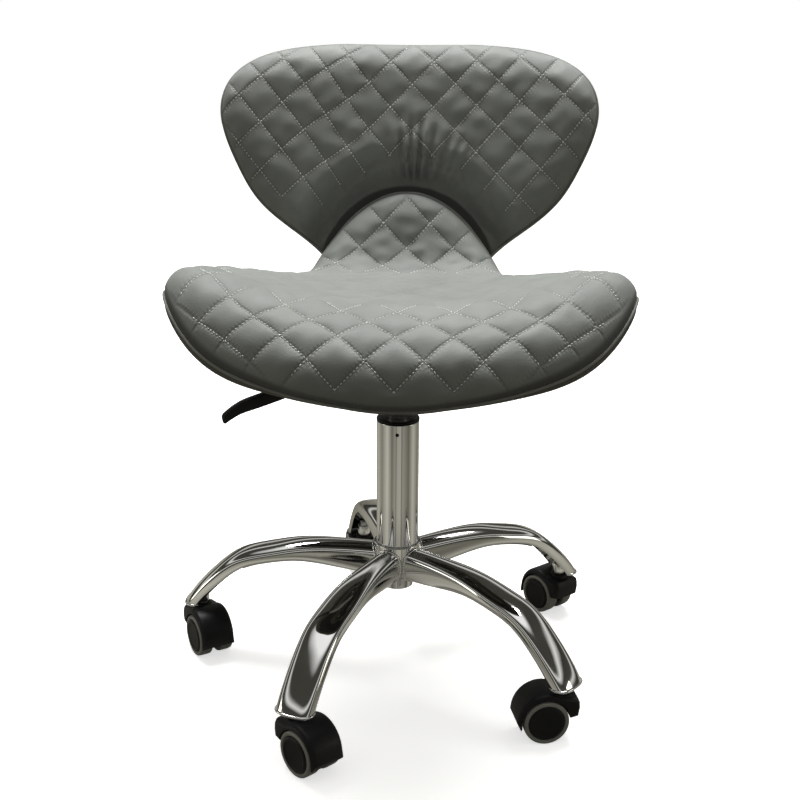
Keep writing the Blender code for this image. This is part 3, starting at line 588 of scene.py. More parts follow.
# ---- Upholstery surfaces ------------------------------------------------------------------------
class Spine:
    """Middle profile of a shell, measured by the distance s along it."""

    def __init__(self, points):
        self.curve = spline(points, 24)
        self.length = np.r_[0, np.cumsum(np.linalg.norm(np.diff(self.curve, axis=0), axis=1))]
        self.total = self.length[-1]

    def point(self, s):
        return np.interp(s, self.length, self.curve[:, 0]), np.interp(s, self.length, self.curve[:, 1])

    def normal(self, s):
        """Unit (y, z) direction out of the padded face."""
        y1, z1 = self.point(np.minimum(s + 0.004, self.total))
        y0, z0 = self.point(np.maximum(s - 0.004, 0.0))
        size = np.hypot(y1 - y0, z1 - z0)
        return -(z1 - z0) / size, (y1 - y0) / size

    def s_of_y(self, y):
        return np.interp(y, self.curve[:, 0], self.length)


SEAT = Spine(SEAT_SPINE)
BACK = Spine(BACK_SPINE)


def seat_point(x, s, out):
    """Points on the seat in the frame's coordinates, out metres above the shell's upper face."""
    y, z = SEAT.point(s)
    normal_y, normal_z = SEAT.normal(s)
    rise = mix(WING_RISE[0], WING_RISE[1], ease(y, -0.195, -0.075))
    rise = rise * mix(1.0, WING_RISE[2] / WING_RISE[1], ease(y, -0.050, 0.060))
    rise = rise * mix(1.0, 0.4, ease(s, 0.40, SEAT.total))
    beyond = np.maximum(0.0, np.abs(x) - FLAT_HALF_WIDTH) / (SEAT_HALF_WIDTH - FLAT_HALF_WIDTH)
    lift = rise * beyond ** 1.3
    lean = ease(y, -0.060, 0.060)
    return np.column_stack([AXIS.x + SEAT_SHIFT + x, AXIS.y + y + lift * lean * normal_y + out * normal_y,
                            z + lift * mix(1.0, normal_z, lean) + out * normal_z])


def back_point(x, s, out):
    """Points on the backrest in the frame's coordinates, out metres off the shell's front face."""
    y, z = BACK.point(s)
    normal_y, normal_z = BACK.normal(s)
    out = out + BACK_WING_CURVE * (x / BACK_HALF_WIDTH) ** 2
    return np.column_stack([AXIS.x + SEAT_SHIFT + x, AXIS.y + y + out * normal_y, z + out * normal_z])


def seat_edge():
    """Half outline of the seat as (x, s), from the middle of the front to the top of the tongue."""
    front = []
    for turn in np.linspace(0, math.pi / 2, 9):
        y = SEAT_WIDEST_Y - SEAT_FRONT_REACH * math.cos(turn)
        front.append((SEAT_HALF_WIDTH * math.sin(turn), float(SEAT.s_of_y(y))))
    return front + list(SEAT_REAR_EDGE) + [(0.0, SEAT.total)]


def back_edge():
    return [(0.0, 0.0)] + list(BACK_EDGE) + [(0.0, BACK.total)]


def full_edge(half, count):
    """Evenly spaced closed outline from a half one, mirrored about x = 0."""
    curve = spline([(-x, s) for x, s in half[1:2]] + list(half) + [(-x, s) for x, s in half[-2:-1]], 24)
    right = resample(curve[24:-24], count // 2 + 1)
    right[[0, -1], 0] = 0.0
    return np.vstack([right, (right[1:-1] * (-1, 1))[::-1]])


def nearest_edge(x, s, outline):
    """Distance of each point (x, s) to a closed outline."""
    distance = np.empty(len(x))
    for low in range(0, len(x), 8000):
        high = low + 8000
        gap = np.hypot(x[low:high, None] - outline[:, 0], s[low:high, None] - outline[:, 1])
        distance[low:high] = gap.min(axis=1)
    return distance


def roll(edge, width):
    """Height share of a pad that rounds down over the given width to its edge."""
    return np.sqrt(1 - (1 - np.clip(edge / width, 0, 1)) ** 2)


# ---- Quilting -----------------------------------------------------------------------------------
def extended(value, places, values):
    """Linear interpolation whose end slopes run on beyond both ends."""
    slope_low = (values[1] - values[0]) / (places[1] - places[0])
    slope_high = (values[-1] - values[-2]) / (places[-1] - places[-2])
    inner = np.interp(value, places, values) + np.minimum(value - places[0], 0) * slope_low
    return inner + np.maximum(value - places[-1], 0) * slope_high


class Quilt:
    """Diamond quilting laid out over the coordinates of a shell."""

    def __init__(self, rows, diamond, centre, rise, first_row, sag, shade):
        self.places = np.array([place for place, _ in rows])
        self.rows = np.array([row for _, row in rows], float)
        self.diamond = diamond
        self.centre = centre
        self.rise = rise
        self.first_row = first_row
        self.sag = sag
        self.shade = shade

    def row(self, x, s):
        """Row number, with the end rows' spacing kept up beyond the listed ones."""
        return extended(s - self.rise(x, s), self.places, self.rows)

    def place(self, x, row):
        """The s at which a row number stands at x."""
        flat = extended(row, self.rows, self.places)
        s = flat
        for _ in range(20):
            s = flat + self.rise(x, s)
        return s

    def crossings(self, x, s):
        """The two diagonal counts, whole numbers on a seam."""
        across = (x - self.centre) / self.diamond
        half_row = self.row(x, s) / 2
        return across + half_row, across - half_row

    def seam_distance(self, x, s):
        """Metres to the nearest seam, about."""
        side = self.diamond / math.sqrt(2)
        first, second = self.crossings(x, s)
        return side * np.abs(first - np.round(first)), side * np.abs(second - np.round(second))

    def presence(self, x, s, edge):
        """1 where the seams are sewn, 0 on the plain borders."""
        sewn = ease(self.row(x, s) - self.first_row(x), -0.22, 0.10)
        return sewn * ease(edge, 0.0005, 0.0050) * self.sag(x, s)

    def sink(self, x, s, edge):
        """How far the cover is drawn in at each point, from 0 on a puff to 1 on a seam."""
        near, other = self.seam_distance(x, s)
        width = 0.5 * self.diamond / math.sqrt(2)
        puff = 1.0
        for distance in (near, other):
            share = np.clip(distance / width, 0, 1)
            puff = puff * (1 - (1 - share) ** 2.6)
        return (1 - puff) * self.presence(x, s, edge)


def seat_sag(x, s):
    """Quilting is drawn flatter in the dip that the sitter presses."""
    dip = ease(s, 0.085, 0.130) * (1 - ease(s, 0.330, 0.372)) * (1 - ease(np.abs(x), 0.165, 0.215))
    return 1 - 0.85 * dip


def seat_row_rise(x, s):
    """The front rows follow the curve of the rim, less and less towards the back."""
    return mix(0.78, 0.20, ease(s, 0.010, 0.095)) * x ** 2


def back_row_rise(x, s):
    """Rows rise towards both sides, and step up on the left where a wide stripe of diamonds runs."""
    return 0.38 * (x - BACK_QUILT_CENTRE) ** 2 + 0.021 * ease(BACK_QUILT_CENTRE - x, 0.045, 0.150)


def back_first_row(x):
    """The lowest sewn row, further down at the sides."""
    aside = np.abs(x - 0.01)
    return -3.0 - 1.5 * ease(aside, 0.045, 0.070) - 1.4 * ease(aside, 0.085, 0.125)


def back_sag(x, s):
    """No quilting on the tongue or close to it."""
    return ease(tongue_distance(x, s), 1.14, 1.24)


def tongue_distance(x, s):
    """1 on the arc where the seat's tongue lies against the backrest, more beyond it."""
    z = BACK.point(s)[1]
    return np.hypot(x / TONGUE_ARC[0], (z - TONGUE_ARC_Z) / TONGUE_ARC[1])


def crease_shade(x, s, edge):
    """Share of painted shade: 1 in the crease along the tongue's arc and at the rim, 0 a little way off."""
    reach = tongue_distance(x, s)
    line = np.hypot(x / TONGUE_ARC[0], (BACK.point(s)[1] - TONGUE_ARC_Z) / CREASE_ARC_HEIGHT)
    crease = 0.62 * (1 - ease(line, 0.995, 1.03)) + 0.22 * (1 - ease(reach, 1.02, 1.45))
    return np.maximum(crease, rim_shade(x, s, edge))


def rim_shade(_x, _s, edge):
    """Share of painted shade: 1 in the seam where the cover meets its piping, 0 a little way in."""
    return 0.75 * (1 - ease(edge, 0.0006, 0.0032))


SEAT_QUILT = Quilt(SEAT_ROWS, SEAT_DIAMOND, 0.0, seat_row_rise, np.zeros_like, seat_sag, rim_shade)
BACK_QUILT = Quilt(BACK_ROWS, BACK_DIAMOND, BACK_QUILT_CENTRE, back_row_rise, back_first_row, back_sag,
                   crease_shade)


def radial_puckers(x, s):
    """Folds that fan out from the tongue's arc into the plain zone of the backrest."""
    z = BACK.point(s)[1]
    angle = np.arctan2(x - 0.006, z - 0.470)
    reach = tongue_distance(x, s)
    fade = (ease(reach, 1.02, 1.12) * (1 - ease(reach, 1.32, 1.72))
            * (1 - ease(np.abs(angle - 0.14), 0.24, 0.62)))
    wave = np.sin(angle * 56 + 1.3 * np.sin(angle * 13))
    folds = np.sign(wave) * np.abs(wave) ** 0.7 * (0.65 + 0.35 * np.sin(angle * 7 + 1.0))
    return PUCKER_DEPTH * folds * fade


def long_creases(x, s):
    """Diagonal draw lines that run on from the seams towards the tongue."""
    first, second = BACK_QUILT.crossings(x, s)
    count = np.where(x > BACK_QUILT_CENTRE, second, first)
    gap = (count - np.round(count)) * BACK_DIAMOND / math.sqrt(2)
    below = back_first_row(x) - BACK_QUILT.row(x, s)
    fade = ease(below, -0.4, 0.3) * (1 - ease(below, 0.9, 2.2)) * ease(np.abs(x), 0.03, 0.05)
    return -0.0011 * np.exp(-(gap / 0.0035) ** 2) * fade


def seat_pad_out(x, s, edge, quilted):
    """Height of the seat's padded face above its shell."""
    thickness = mix(SEAT_PAD, TONGUE_PAD, ease(s, 0.28, 0.40))
    width = mix(SEAT_PAD_ROLL, TONGUE_PAD_ROLL, ease(s, 0.28, 0.40))
    out = PAD_EDGE + thickness * roll(edge, width)
    if quilted:
        out = out - SEAT_QUILT_DEPTH * (SEAT_QUILT.sink(x, s, edge) - 0.25) * ease(edge, 0.0, 0.012)
        out = out + LEATHER_WAVE * wobble(np.column_stack([x, s]), 0.030, 3) * ease(edge, 0.002, 0.02)
    return out


def back_pad_out(x, s, edge, quilted):
    """Height of the backrest's padded face in front of its shell, none behind the tongue."""
    cover = ease(tongue_distance(x, s), 1.0, 1.42)
    out = PAD_EDGE + BACK_PAD * roll(edge, BACK_PAD_ROLL) * cover
    if quilted:
        inner = ease(edge, 0.0, 0.012) * cover
        out = out - BACK_QUILT_DEPTH * (BACK_QUILT.sink(x, s, edge) - 0.25) * inner
        out = out + (radial_puckers(x, s) + long_creases(x, s)) * ease(edge, 0.002, 0.02)
        out = out + LEATHER_WAVE * wobble(np.column_stack([x, s]), 0.034, 5) * inner
    return out


# ---- Padded meshes ------------------------------------------------------------------------------
class Pad:
    """A cushion over a closed outline, as rings that shrink towards a centre."""

    def __init__(self, half_edge, centre_s, point, out_of, quilt):
        self.half_edge = half_edge
        self.centre_s = centre_s
        self.point = point
        self.out_of = out_of
        self.quilt = quilt

    def outline_of(self, count):
        return full_edge(self.half_edge, count)

    def grid(self, around, rings):
        """x, s and distance to the edge for every point of the top, from the centre outwards."""
        outline = self.outline_of(around)
        share = 1 - (1 - np.linspace(0.012, 1, rings)) ** 1.3
        x = np.outer(share, outline[:, 0]).ravel()
        s = (self.centre_s + np.outer(share, outline[:, 1] - self.centre_s)).ravel()
        edge = nearest_edge(x, s, self.outline_of(OUTLINE_POINTS))
        edge[-around:] = 0
        return x, s, edge

    def solid(self, name, around, rings, quilted, swell=None):
        """Closed mesh: the padded face, and a flat face against the shell."""
        x, s, edge = self.grid(around, rings)
        top = self.point(x, s, self.out_of(x, s, edge, quilted))
        if swell is not None:
            top = top + swell
        under = []
        for share in (0.985, 0.6):
            ring_x = x[-around:] * share
            ring_s = self.centre_s + (s[-around:] - self.centre_s) * share
            under.append(self.point(ring_x, ring_s, np.full(around, UNDER_GAP)))
        vertices = np.vstack([top, *under, under[-1].mean(axis=0), top[:around].mean(axis=0)])
        faces = polar_faces(around, rings + len(under))
        last = (rings + len(under) - 1) * around
        under_pole = len(vertices) - 2
        top_pole = len(vertices) - 1
        for k in range(around):
            after = (k + 1) % around
            faces.append((top_pole, k, after))
            faces.append((under_pole, last + after, last + k))
        mesh = raw_mesh(name, vertices.tolist(), faces)
        if quilted:
            first, second = self.quilt.crossings(x, s)
            for label, values in (("quilt_first", first), ("quilt_second", second),
                                  ("quilt_sewn", self.quilt.presence(x, s, edge)),
                                  ("quilt_shade", self.quilt.shade(x, s, edge))):
                padded = np.zeros(len(vertices), np.float32)
                padded[:len(values)] = values
                mesh.attributes.new(label, "FLOAT", "POINT").data.foreach_set("value", padded)
        return mesh

    def ring(self, outline, share):
        """An outline shrunk by a share towards the centre, as x and s."""
        return outline[:, 0] * share, self.centre_s + (outline[:, 1] - self.centre_s) * share


def polar_faces(around, rings):
    ring = np.arange(rings - 1)[:, None] * around
    k = np.arange(around)[None, :]
    after = (k + 1) % around
    quads = np.stack([ring + k, ring + around + k, ring + around + after, ring + after], axis=-1)
    return [tuple(face) for face in quads.reshape(-1, 4).tolist()]


def cloth_swell(pad):
    """Runs Cloth on a coarse quilted cushion and returns how far its cover moves, by ring and angle."""
    mesh = outward(pad.solid("cloth_rest", CLOTH_AROUND, CLOTH_RINGS, True))
    rest = np.empty(len(mesh.vertices) * 3)
    mesh.vertices.foreach_get("co", rest)
    rest = rest.reshape(-1, 3)
    cushion = bpy.data.objects.new("cloth_cushion", mesh)
    bpy.context.scene.collection.objects.link(cushion)
    x, s, edge = pad.grid(CLOTH_AROUND, CLOTH_RINGS)
    near, other = pad.quilt.seam_distance(x, s)
    sewn = np.exp(-(np.minimum(near, other) / 0.0035) ** 2) * pad.quilt.presence(x, s, edge)
    hold = np.ones(len(rest))
    hold[:len(x)] = np.clip(np.maximum(sewn, 1 - ease(edge, 0.0, 0.010)), 0, 1)
    group = cushion.vertex_groups.new(name="sewn")
    for index, weight in enumerate(hold):
        group.add([index], float(weight), "REPLACE")
    cloth = cushion.modifiers.new("cloth", "CLOTH")
    for setting, value in CLOTH_SETTINGS.items():
        setattr(cloth.settings, setting, value)
    cloth.settings.effector_weights.gravity = 0.0
    cloth.point_cache.frame_start = 1
    cloth.point_cache.frame_end = CLOTH_FRAMES
    for number in range(1, CLOTH_FRAMES + 1):
        bpy.context.scene.frame_set(number)
    shape = cushion.evaluated_get(bpy.context.evaluated_depsgraph_get()).to_mesh()
    final = np.empty(len(shape.vertices) * 3)
    shape.vertices.foreach_get("co", final)
    move = (final.reshape(-1, 3) - rest)[:len(x)]
    bpy.data.objects.remove(cushion)
    bpy.context.scene.frame_set(1)
    size = np.linalg.norm(move, axis=1)
    move *= (np.minimum(size, CLOTH_CAP) / np.maximum(size, 1e-9))[:, None]
    return move.reshape(CLOTH_RINGS, CLOTH_AROUND, 3)


def widen(field, rings, around):
    """The coarse field read at the points of a fine grid."""
    place = np.linspace(0, field.shape[0] - 1, rings)
    low = np.minimum(place.astype(int), field.shape[0] - 2)
    part = (place - low)[:, None, None]
    rows = field[low] * (1 - part) + field[low + 1] * part
    turn = np.arange(around) * field.shape[1] / around
    first = turn.astype(int)
    part = (turn - first)[None, :, None]
    second = (first + 1) % field.shape[1]
    return (rows[:, first] * (1 - part) + rows[:, second] * part).reshape(-1, 3)


SEAT_PAD_MAKER = Pad(seat_edge(), SEAT_CENTRE_S, seat_point, seat_pad_out, SEAT_QUILT)
BACK_PAD_MAKER = Pad(back_edge(), BACK_CENTRE_S, back_point, back_pad_out, BACK_QUILT)


def stitch_mesh():
    """One short stitch: a rounded thread along +X with its ends drawn in."""
    sides = 6
    rings = []
    half = STITCH_LENGTH / 2
    for x, swell, sink in ((-half, 0.35, -1.0), (-half * 0.55, 1.0, 0.1),
                           (half * 0.55, 1.0, 0.1), (half, 0.35, -1.0)):
        turns = 2 * math.pi * np.arange(sides) / sides
        rings.append([(x, THREAD_RADIUS * swell * math.cos(t), THREAD_RADIUS * (swell * math.sin(t) + sink))
                      for t in turns])
    vertices = np.array([point for ring in rings for point in ring])
    faces = []
    for i in range(len(rings) - 1):
        for k in range(sides):
            after = (k + 1) % sides
            faces.append((i * sides + k, i * sides + after, (i + 1) * sides + after, (i + 1) * sides + k))
    faces.append(tuple(range(sides))[::-1])
    faces.append(tuple(range((len(rings) - 1) * sides, len(rings) * sides)))
    return vertices, faces


def seam_paths(pad, s_range, x_limit):
    """Every seam as dense arrays of x, s, the distance to the edge and whether it is sewn there."""
    quilt = pad.quilt
    outline = pad.outline_of(OUTLINE_POINTS)
    low_row = float(quilt.row(0.0, s_range[0])) - 1
    high_row = float(quilt.row(0.0, s_range[1])) + 1
    paths = []
    for lean in (1, -1):
        top = int(x_limit / quilt.diamond + max(abs(low_row), abs(high_row)) / 2) + 2
        for number in range(-top, top + 1):
            rows = np.linspace(low_row, high_row, 900)
            x = quilt.centre + quilt.diamond * (number - lean * rows / 2)
            s = quilt.place(x, rows)
            keep = np.abs(x) < x_limit
            if keep.sum() < 3:
                continue
            x, s = x[keep], s[keep]
            inside = star_inside(x, s, pad)
            x, s = x[inside], s[inside]
            if len(x) < 3:
                continue
            edge = nearest_edge(x, s, outline)
            sewn = (quilt.presence(x, s, edge) > 0.45) & (edge > STITCH_MARGIN)
            paths.append((x, s, edge, sewn))
    return paths


def star_inside(x, s, pad):
    """Whether points lie inside the pad's outline, which every ray from its centre crosses once."""
    outline = pad.outline_of(OUTLINE_POINTS)
    turn = np.unwrap(np.arctan2(outline[:, 1] - pad.centre_s, outline[:, 0]))
    reach = np.hypot(outline[:, 0], outline[:, 1] - pad.centre_s)
    order = np.argsort(turn)
    angle = np.arctan2(s - pad.centre_s, x)
    limit = np.interp(angle, turn[order], reach[order], period=2 * math.pi)
    return np.hypot(x, s - pad.centre_s) < limit - 0.004


def quilt_stitches(name, pad, cushion, s_range, x_limit):
    """Thread on every seam, laid on the cushion's final surface."""
    mesh = cushion.data
    tree = BVHTree.FromPolygons([v.co for v in mesh.vertices], [p.vertices for p in mesh.polygons])
    shape, shape_faces = stitch_mesh()
    vertices = []
    faces = []
    for x, s, edge, sewn in seam_paths(pad, s_range, x_limit):
        line = pad.point(x, s, pad.out_of(x, s, edge, True))
        length = np.r_[0, np.cumsum(np.linalg.norm(np.diff(line, axis=0), axis=1))]
        for place in np.arange(STITCH_PITCH / 2, length[-1], STITCH_PITCH):
            index = int(np.searchsorted(length, place))
            if index >= len(line) - 1 or not sewn[index]:
                continue
            spot, normal, _, _ = tree.find_nearest(Vector(line[index]))
            run = Vector(line[index + 1] - line[index - 1])
            run = (run - normal * run.dot(normal)).normalized()
            side = normal.cross(run)
            basis = np.array((run, side, normal))
            start = len(vertices)
            stitch = shape @ basis + np.array(spot) + np.array(normal) * THREAD_RADIUS * 0.4
            vertices.extend(stitch.tolist())
            faces.extend(tuple(start + i for i in face) for face in shape_faces)
    add_piece(name, raw_mesh(name, vertices, faces), THREAD, "seat_unit", 60)


def build_cushion(name, node, pad, leather, s_range, x_limit):
    swell = None
    swell = widen(cloth_swell(pad), FINE_RINGS, FINE_AROUND)
    mesh = outward(pad.solid(name, FINE_AROUND, FINE_RINGS, True, swell))
    cushion = add_piece(name, mesh, leather, "seat_unit", 75)
    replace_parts(cushion, node)
    quilt_stitches(f"{name}_stitches", pad, cushion, s_range, x_limit)


build_cushion("seat_quilted_cushion", "seat_cushion", SEAT_PAD_MAKER, SEAT_LEATHER,
              (0.0, SEAT.total), 0.250)
build_cushion("back_quilted_cushion", "back_cushion", BACK_PAD_MAKER, BACK_LEATHER,
              (0.08, BACK.total), 0.236)


# ---- Shells, piping and dust cover --------------------------------------------------------------
def rim_points(maker, count, share, out):
    """Points over the outline shrunk by a share, at one height above the shell's face."""
    x, s = maker.ring(maker.outline_of(count), share)
    return maker.point(x, s, np.full(count, out))


def shell_thickness(s, edge, extra):
    return SHELL_THICKNESS + extra * (1 - ease(edge, 0.03, 0.08)) * (1 - ease(s, 0.24, 0.34))


def build_shell(name, node, maker, extra):
    """Moulded shell with a rounded lower edge, covered in plain leather."""
    outline = maker.outline_of(SHELL_AROUND)
    reach = np.hypot(outline[:, 0], outline[:, 1] - maker.centre_s)
    layers = [(0.40, 0.0, 0.0), (0.80, 0.0, 0.0), (0.975, 0.0, 0.0), (0.994, 0.0, -0.0004),
              (1.0, 0.0, -0.0016)]
    for turn in np.linspace(0.0, math.pi / 2, 6):
        share = 1 - SHELL_ROUNDING * (1 - math.cos(turn)) / 0.22
        layers.append((share, -1.0, SHELL_ROUNDING * (1 - math.sin(turn))))
    layers += [(share, -1.0, 0.0) for share in np.linspace(0.95, 0.10, 16)]
    rings = []
    for share, depth, lift in layers:
        x, s = maker.ring(outline, share)
        thickness = shell_thickness(s, reach * (1 - share), extra)
        rings.append(maker.point(x, s, depth * thickness + lift))
    shell = add_piece(name, loft(name, rings), BAND, "seat_unit", 50)
    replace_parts(shell, node)


def build_piping(name, maker, out):
    path = rim_points(maker, SHELL_AROUND, 1.002, out)
    add_piece(name, tube(name, path, PIPING_RADIUS, 10), PIPING, "seat_unit", 60)


def build_dust_cover():
    upper, edge, lower = DUST_COVER_OUT
    shares = (0.06, 0.50, 0.80, 0.925)
    layers = [(share, upper) for share in shares] + [(0.930, edge)]
    layers += [(share, lower) for share in shares[::-1]]
    rings = [rim_points(SEAT_PAD_MAKER, 240, share, out) for share, out in layers]
    add_piece("seat_dust_cover", loft("seat_dust_cover", rings), DUST_COVER, "seat_unit", 50)


build_shell("seat_upholstered_shell", "seat_shell", SEAT_PAD_MAKER, SEAT_SHELL_EXTRA)
build_shell("back_upholstered_shell", "back_shell", BACK_PAD_MAKER, 0.0)
build_piping("seat_piping", SEAT_PAD_MAKER, 0.0010)
build_piping("back_piping", BACK_PAD_MAKER, 0.0010)
build_piping("back_rear_piping", BACK_PAD_MAKER, -SHELL_THICKNESS + 0.0006)
build_dust_cover()


# ---- Base ---------------------------------------------------------------------------------------
def soften(section, times):
    """Corner cutting that turns a closed polygon into a smooth one inside it."""
    points = np.array(section, float)
    for _ in range(times):
        after = np.roll(points, -1, axis=0)
        pairs = np.stack([0.75 * points + 0.25 * after, 0.25 * points + 0.75 * after], axis=1)
        points = pairs.reshape(-1, 2)
    return points


def leg_rings(wall, open_from=None):
    """Smooth rings of a leg along its crest; past open_from the floor drops away."""
    crest = resample(spline(LEG_CREST, 16), LEG_STATIONS)
    run = np.gradient(crest, axis=0)
    run /= np.linalg.norm(run, axis=1)[:, None]
    rings = []
    for i, (radius, z) in enumerate(crest):
        t = ease(i / (len(crest) - 1), 0.0, 0.5)
        half = mix(LEG_WIDTH[0], LEG_WIDTH[1], t) / 2 - wall
        depth = mix(LEG_DEPTH[0], LEG_DEPTH[1], t) - 2 * wall
        crown = mix(0.34, 0.46, t)
        right = ((crown * half, 0.0), (0.88 * half, -0.16 * depth), (1.02 * half, -0.42 * depth),
                 (1.02 * half, -0.72 * depth), (0.70 * half, -depth))
        section = soften(right + tuple((-across, drop) for across, drop in reversed(right)), 3)
        ring = []
        for across, drop in section:
            down = wall - drop
            if open_from is not None and radius > open_from and drop < -0.5 * depth:
                down += 0.020
                across = math.copysign(half, across)
            ring.append((radius + run[i][1] * down, across, z - run[i][0] * down))
        rings.append(ring)
    return rings


def level_cut(mesh, height):
    """Mesh with all that lies below a height cut off, and the cut faces closed."""
    work = bmesh.new()
    work.from_mesh(mesh)
    geometry = work.verts[:] + work.edges[:] + work.faces[:]
    sliced = bmesh.ops.bisect_plane(work, geom=geometry, plane_co=(0, 0, height), plane_no=(0, 0, -1),
                                    clear_outer=True)
    rim = [item for item in sliced["geom_cut"] if isinstance(item, bmesh.types.BMEdge)]
    bmesh.ops.triangle_fill(work, use_beauty=True, edges=rim)
    bmesh.ops.recalc_face_normals(work, faces=work.faces)
    work.to_mesh(mesh)
    work.free()
    return mesh


def tip_rim(rings):
    """Path of the rolled edge round a leg's level tip, from one side over the crest to the other."""
    lines = np.array(rings).transpose(1, 0, 2)
    level = LEG_RIM_Z + RIM_BEAD
    path = []
    for line in lines:
        below = np.nonzero(line[:, 2] < level)[0]
        if len(below) == 0:
            continue
        i = below[0]
        t = (line[i - 1, 2] - level) / (line[i - 1, 2] - line[i, 2])
        path.append(line[i - 1] * (1 - t) + line[i] * t)
    path = np.array(path)
    front = path[path[:, 0] > path[:, 0].max() - TIP_RIM_REACH]
    return front[np.argsort(np.arctan2(front[:, 1], front[:, 0] - front[:, 0].min() + 0.002))]


def leg_mesh():
    """One pressed leg along +X, a tube at the hub that opens into a channel towards its tip."""
    rings = leg_rings(0.0)
    hollow = leg_rings(LEG_WALL, LEG_OPEN_FROM)
    hollow.insert(0, [(x - 0.004, y, z) for x, y, z in hollow[0]])
    leg = combine(loft("leg", rings), loft("hollow", hollow), "DIFFERENCE")
    return level_cut(leg, LEG_RIM_Z)


def around(index, distance=0.0):
    """Matrix that stands on a leg's line, at a distance from the column's axis."""
    stem = Vector(JOINTS[f"caster_{index}_swivel"]["pos_m"])
    heading = (stem - AXIS).xy.normalized()
    turn = math.atan2(heading.y, heading.x)
    return Matrix.Translation(AXIS) @ Matrix.Rotation(turn, 4, "Z") @ Matrix.Translation((distance, 0, 0))


def weld_bead(rings):
    """Bead round a leg's root, where it meets the hub."""
    lines = np.array(rings).transpose(1, 0, 2)
    path = []
    for line in lines:
        reach = np.hypot(line[:, 0], line[:, 1])
        path.append([np.interp(HUB_RADIUS + 0.0006, reach, line[:, axis]) for axis in range(3)])
    path = resample(np.vstack([path, path[:1]]), 97)[:-1]
    ripple = 1 + 0.16 * np.sin(np.arange(96) * 2 * math.pi * 24 / 96)
    return tube("bead", path, WELD_RADIUS * ripple, 8)


def crimped(radius, turn, z):
    """The hub's radius with its foot pressed in between the legs."""
    foot = float(ease(z, 0.1005, 0.104) * (1 - ease(z, 0.112, 0.118)))
    return radius - CRIMP_DEPTH * math.cos(turn * CRIMPS / 2) ** 6 * foot


def build_base():
    profile = rounded(((HUB_RADIUS, HUB_HIGH.z), (HUB_RADIUS, 0.1210), (0.0205, 0.1150), (0.0195, HUB_LOW.z),
                       (0.0120, HUB_LOW.z), (0.0120, 0.1040), (0.0178, 0.1060), (0.0178, 0.1185),
                       (COLUMN_RADIUS + CLEARANCE, 0.1215), (COLUMN_RADIUS + CLEARANCE, HUB_HIGH.z)),
                      0.0010)
    hub = add_piece("hub_chrome", turned("hub_chrome", profile, 120, crimped), CHROME, "base", 50,
                    Matrix.Translation(AXIS))
    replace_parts(hub, "base_hub")
    rings = leg_rings(0.0)
    leg = leg_mesh()
    bead = weld_bead(rings)
    edge = tip_rim(rings)
    from_end = np.minimum(np.arange(len(edge)), np.arange(len(edge))[::-1])
    rim = tube("rim", edge, RIM_BEAD * (0.35 + 0.65 * ease(from_end, 0, 7)), 10, closed=False)
    bore = STEM_RADIUS + CLEARANCE
    sleeve = turned("sleeve", rounded(((SLEEVE_RADIUS, SLEEVE_TOP), (SLEEVE_RADIUS, LEG_RIM_Z),
                                       (bore, LEG_RIM_Z), (bore, SLEEVE_TOP)), 0.0006), 40)
    for index in range(1, CASTERS + 1):
        place = around(index)
        body = add_piece(f"leg_{index}_pressed", leg, CHROME, "base", 38, place)
        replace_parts(body, f"base_leg_{index}")
        add_piece(f"leg_{index}_rim", rim, CHROME, "base", 60, place)
        add_piece(f"leg_{index}_weld", bead, CHROME, "base", 60, place)
        reach = (Vector(JOINTS[f"caster_{index}_swivel"]["pos_m"]) - AXIS).xy.length
        add_piece(f"leg_{index}_sleeve", sleeve, CHROME, "base", 50, around(index, reach))


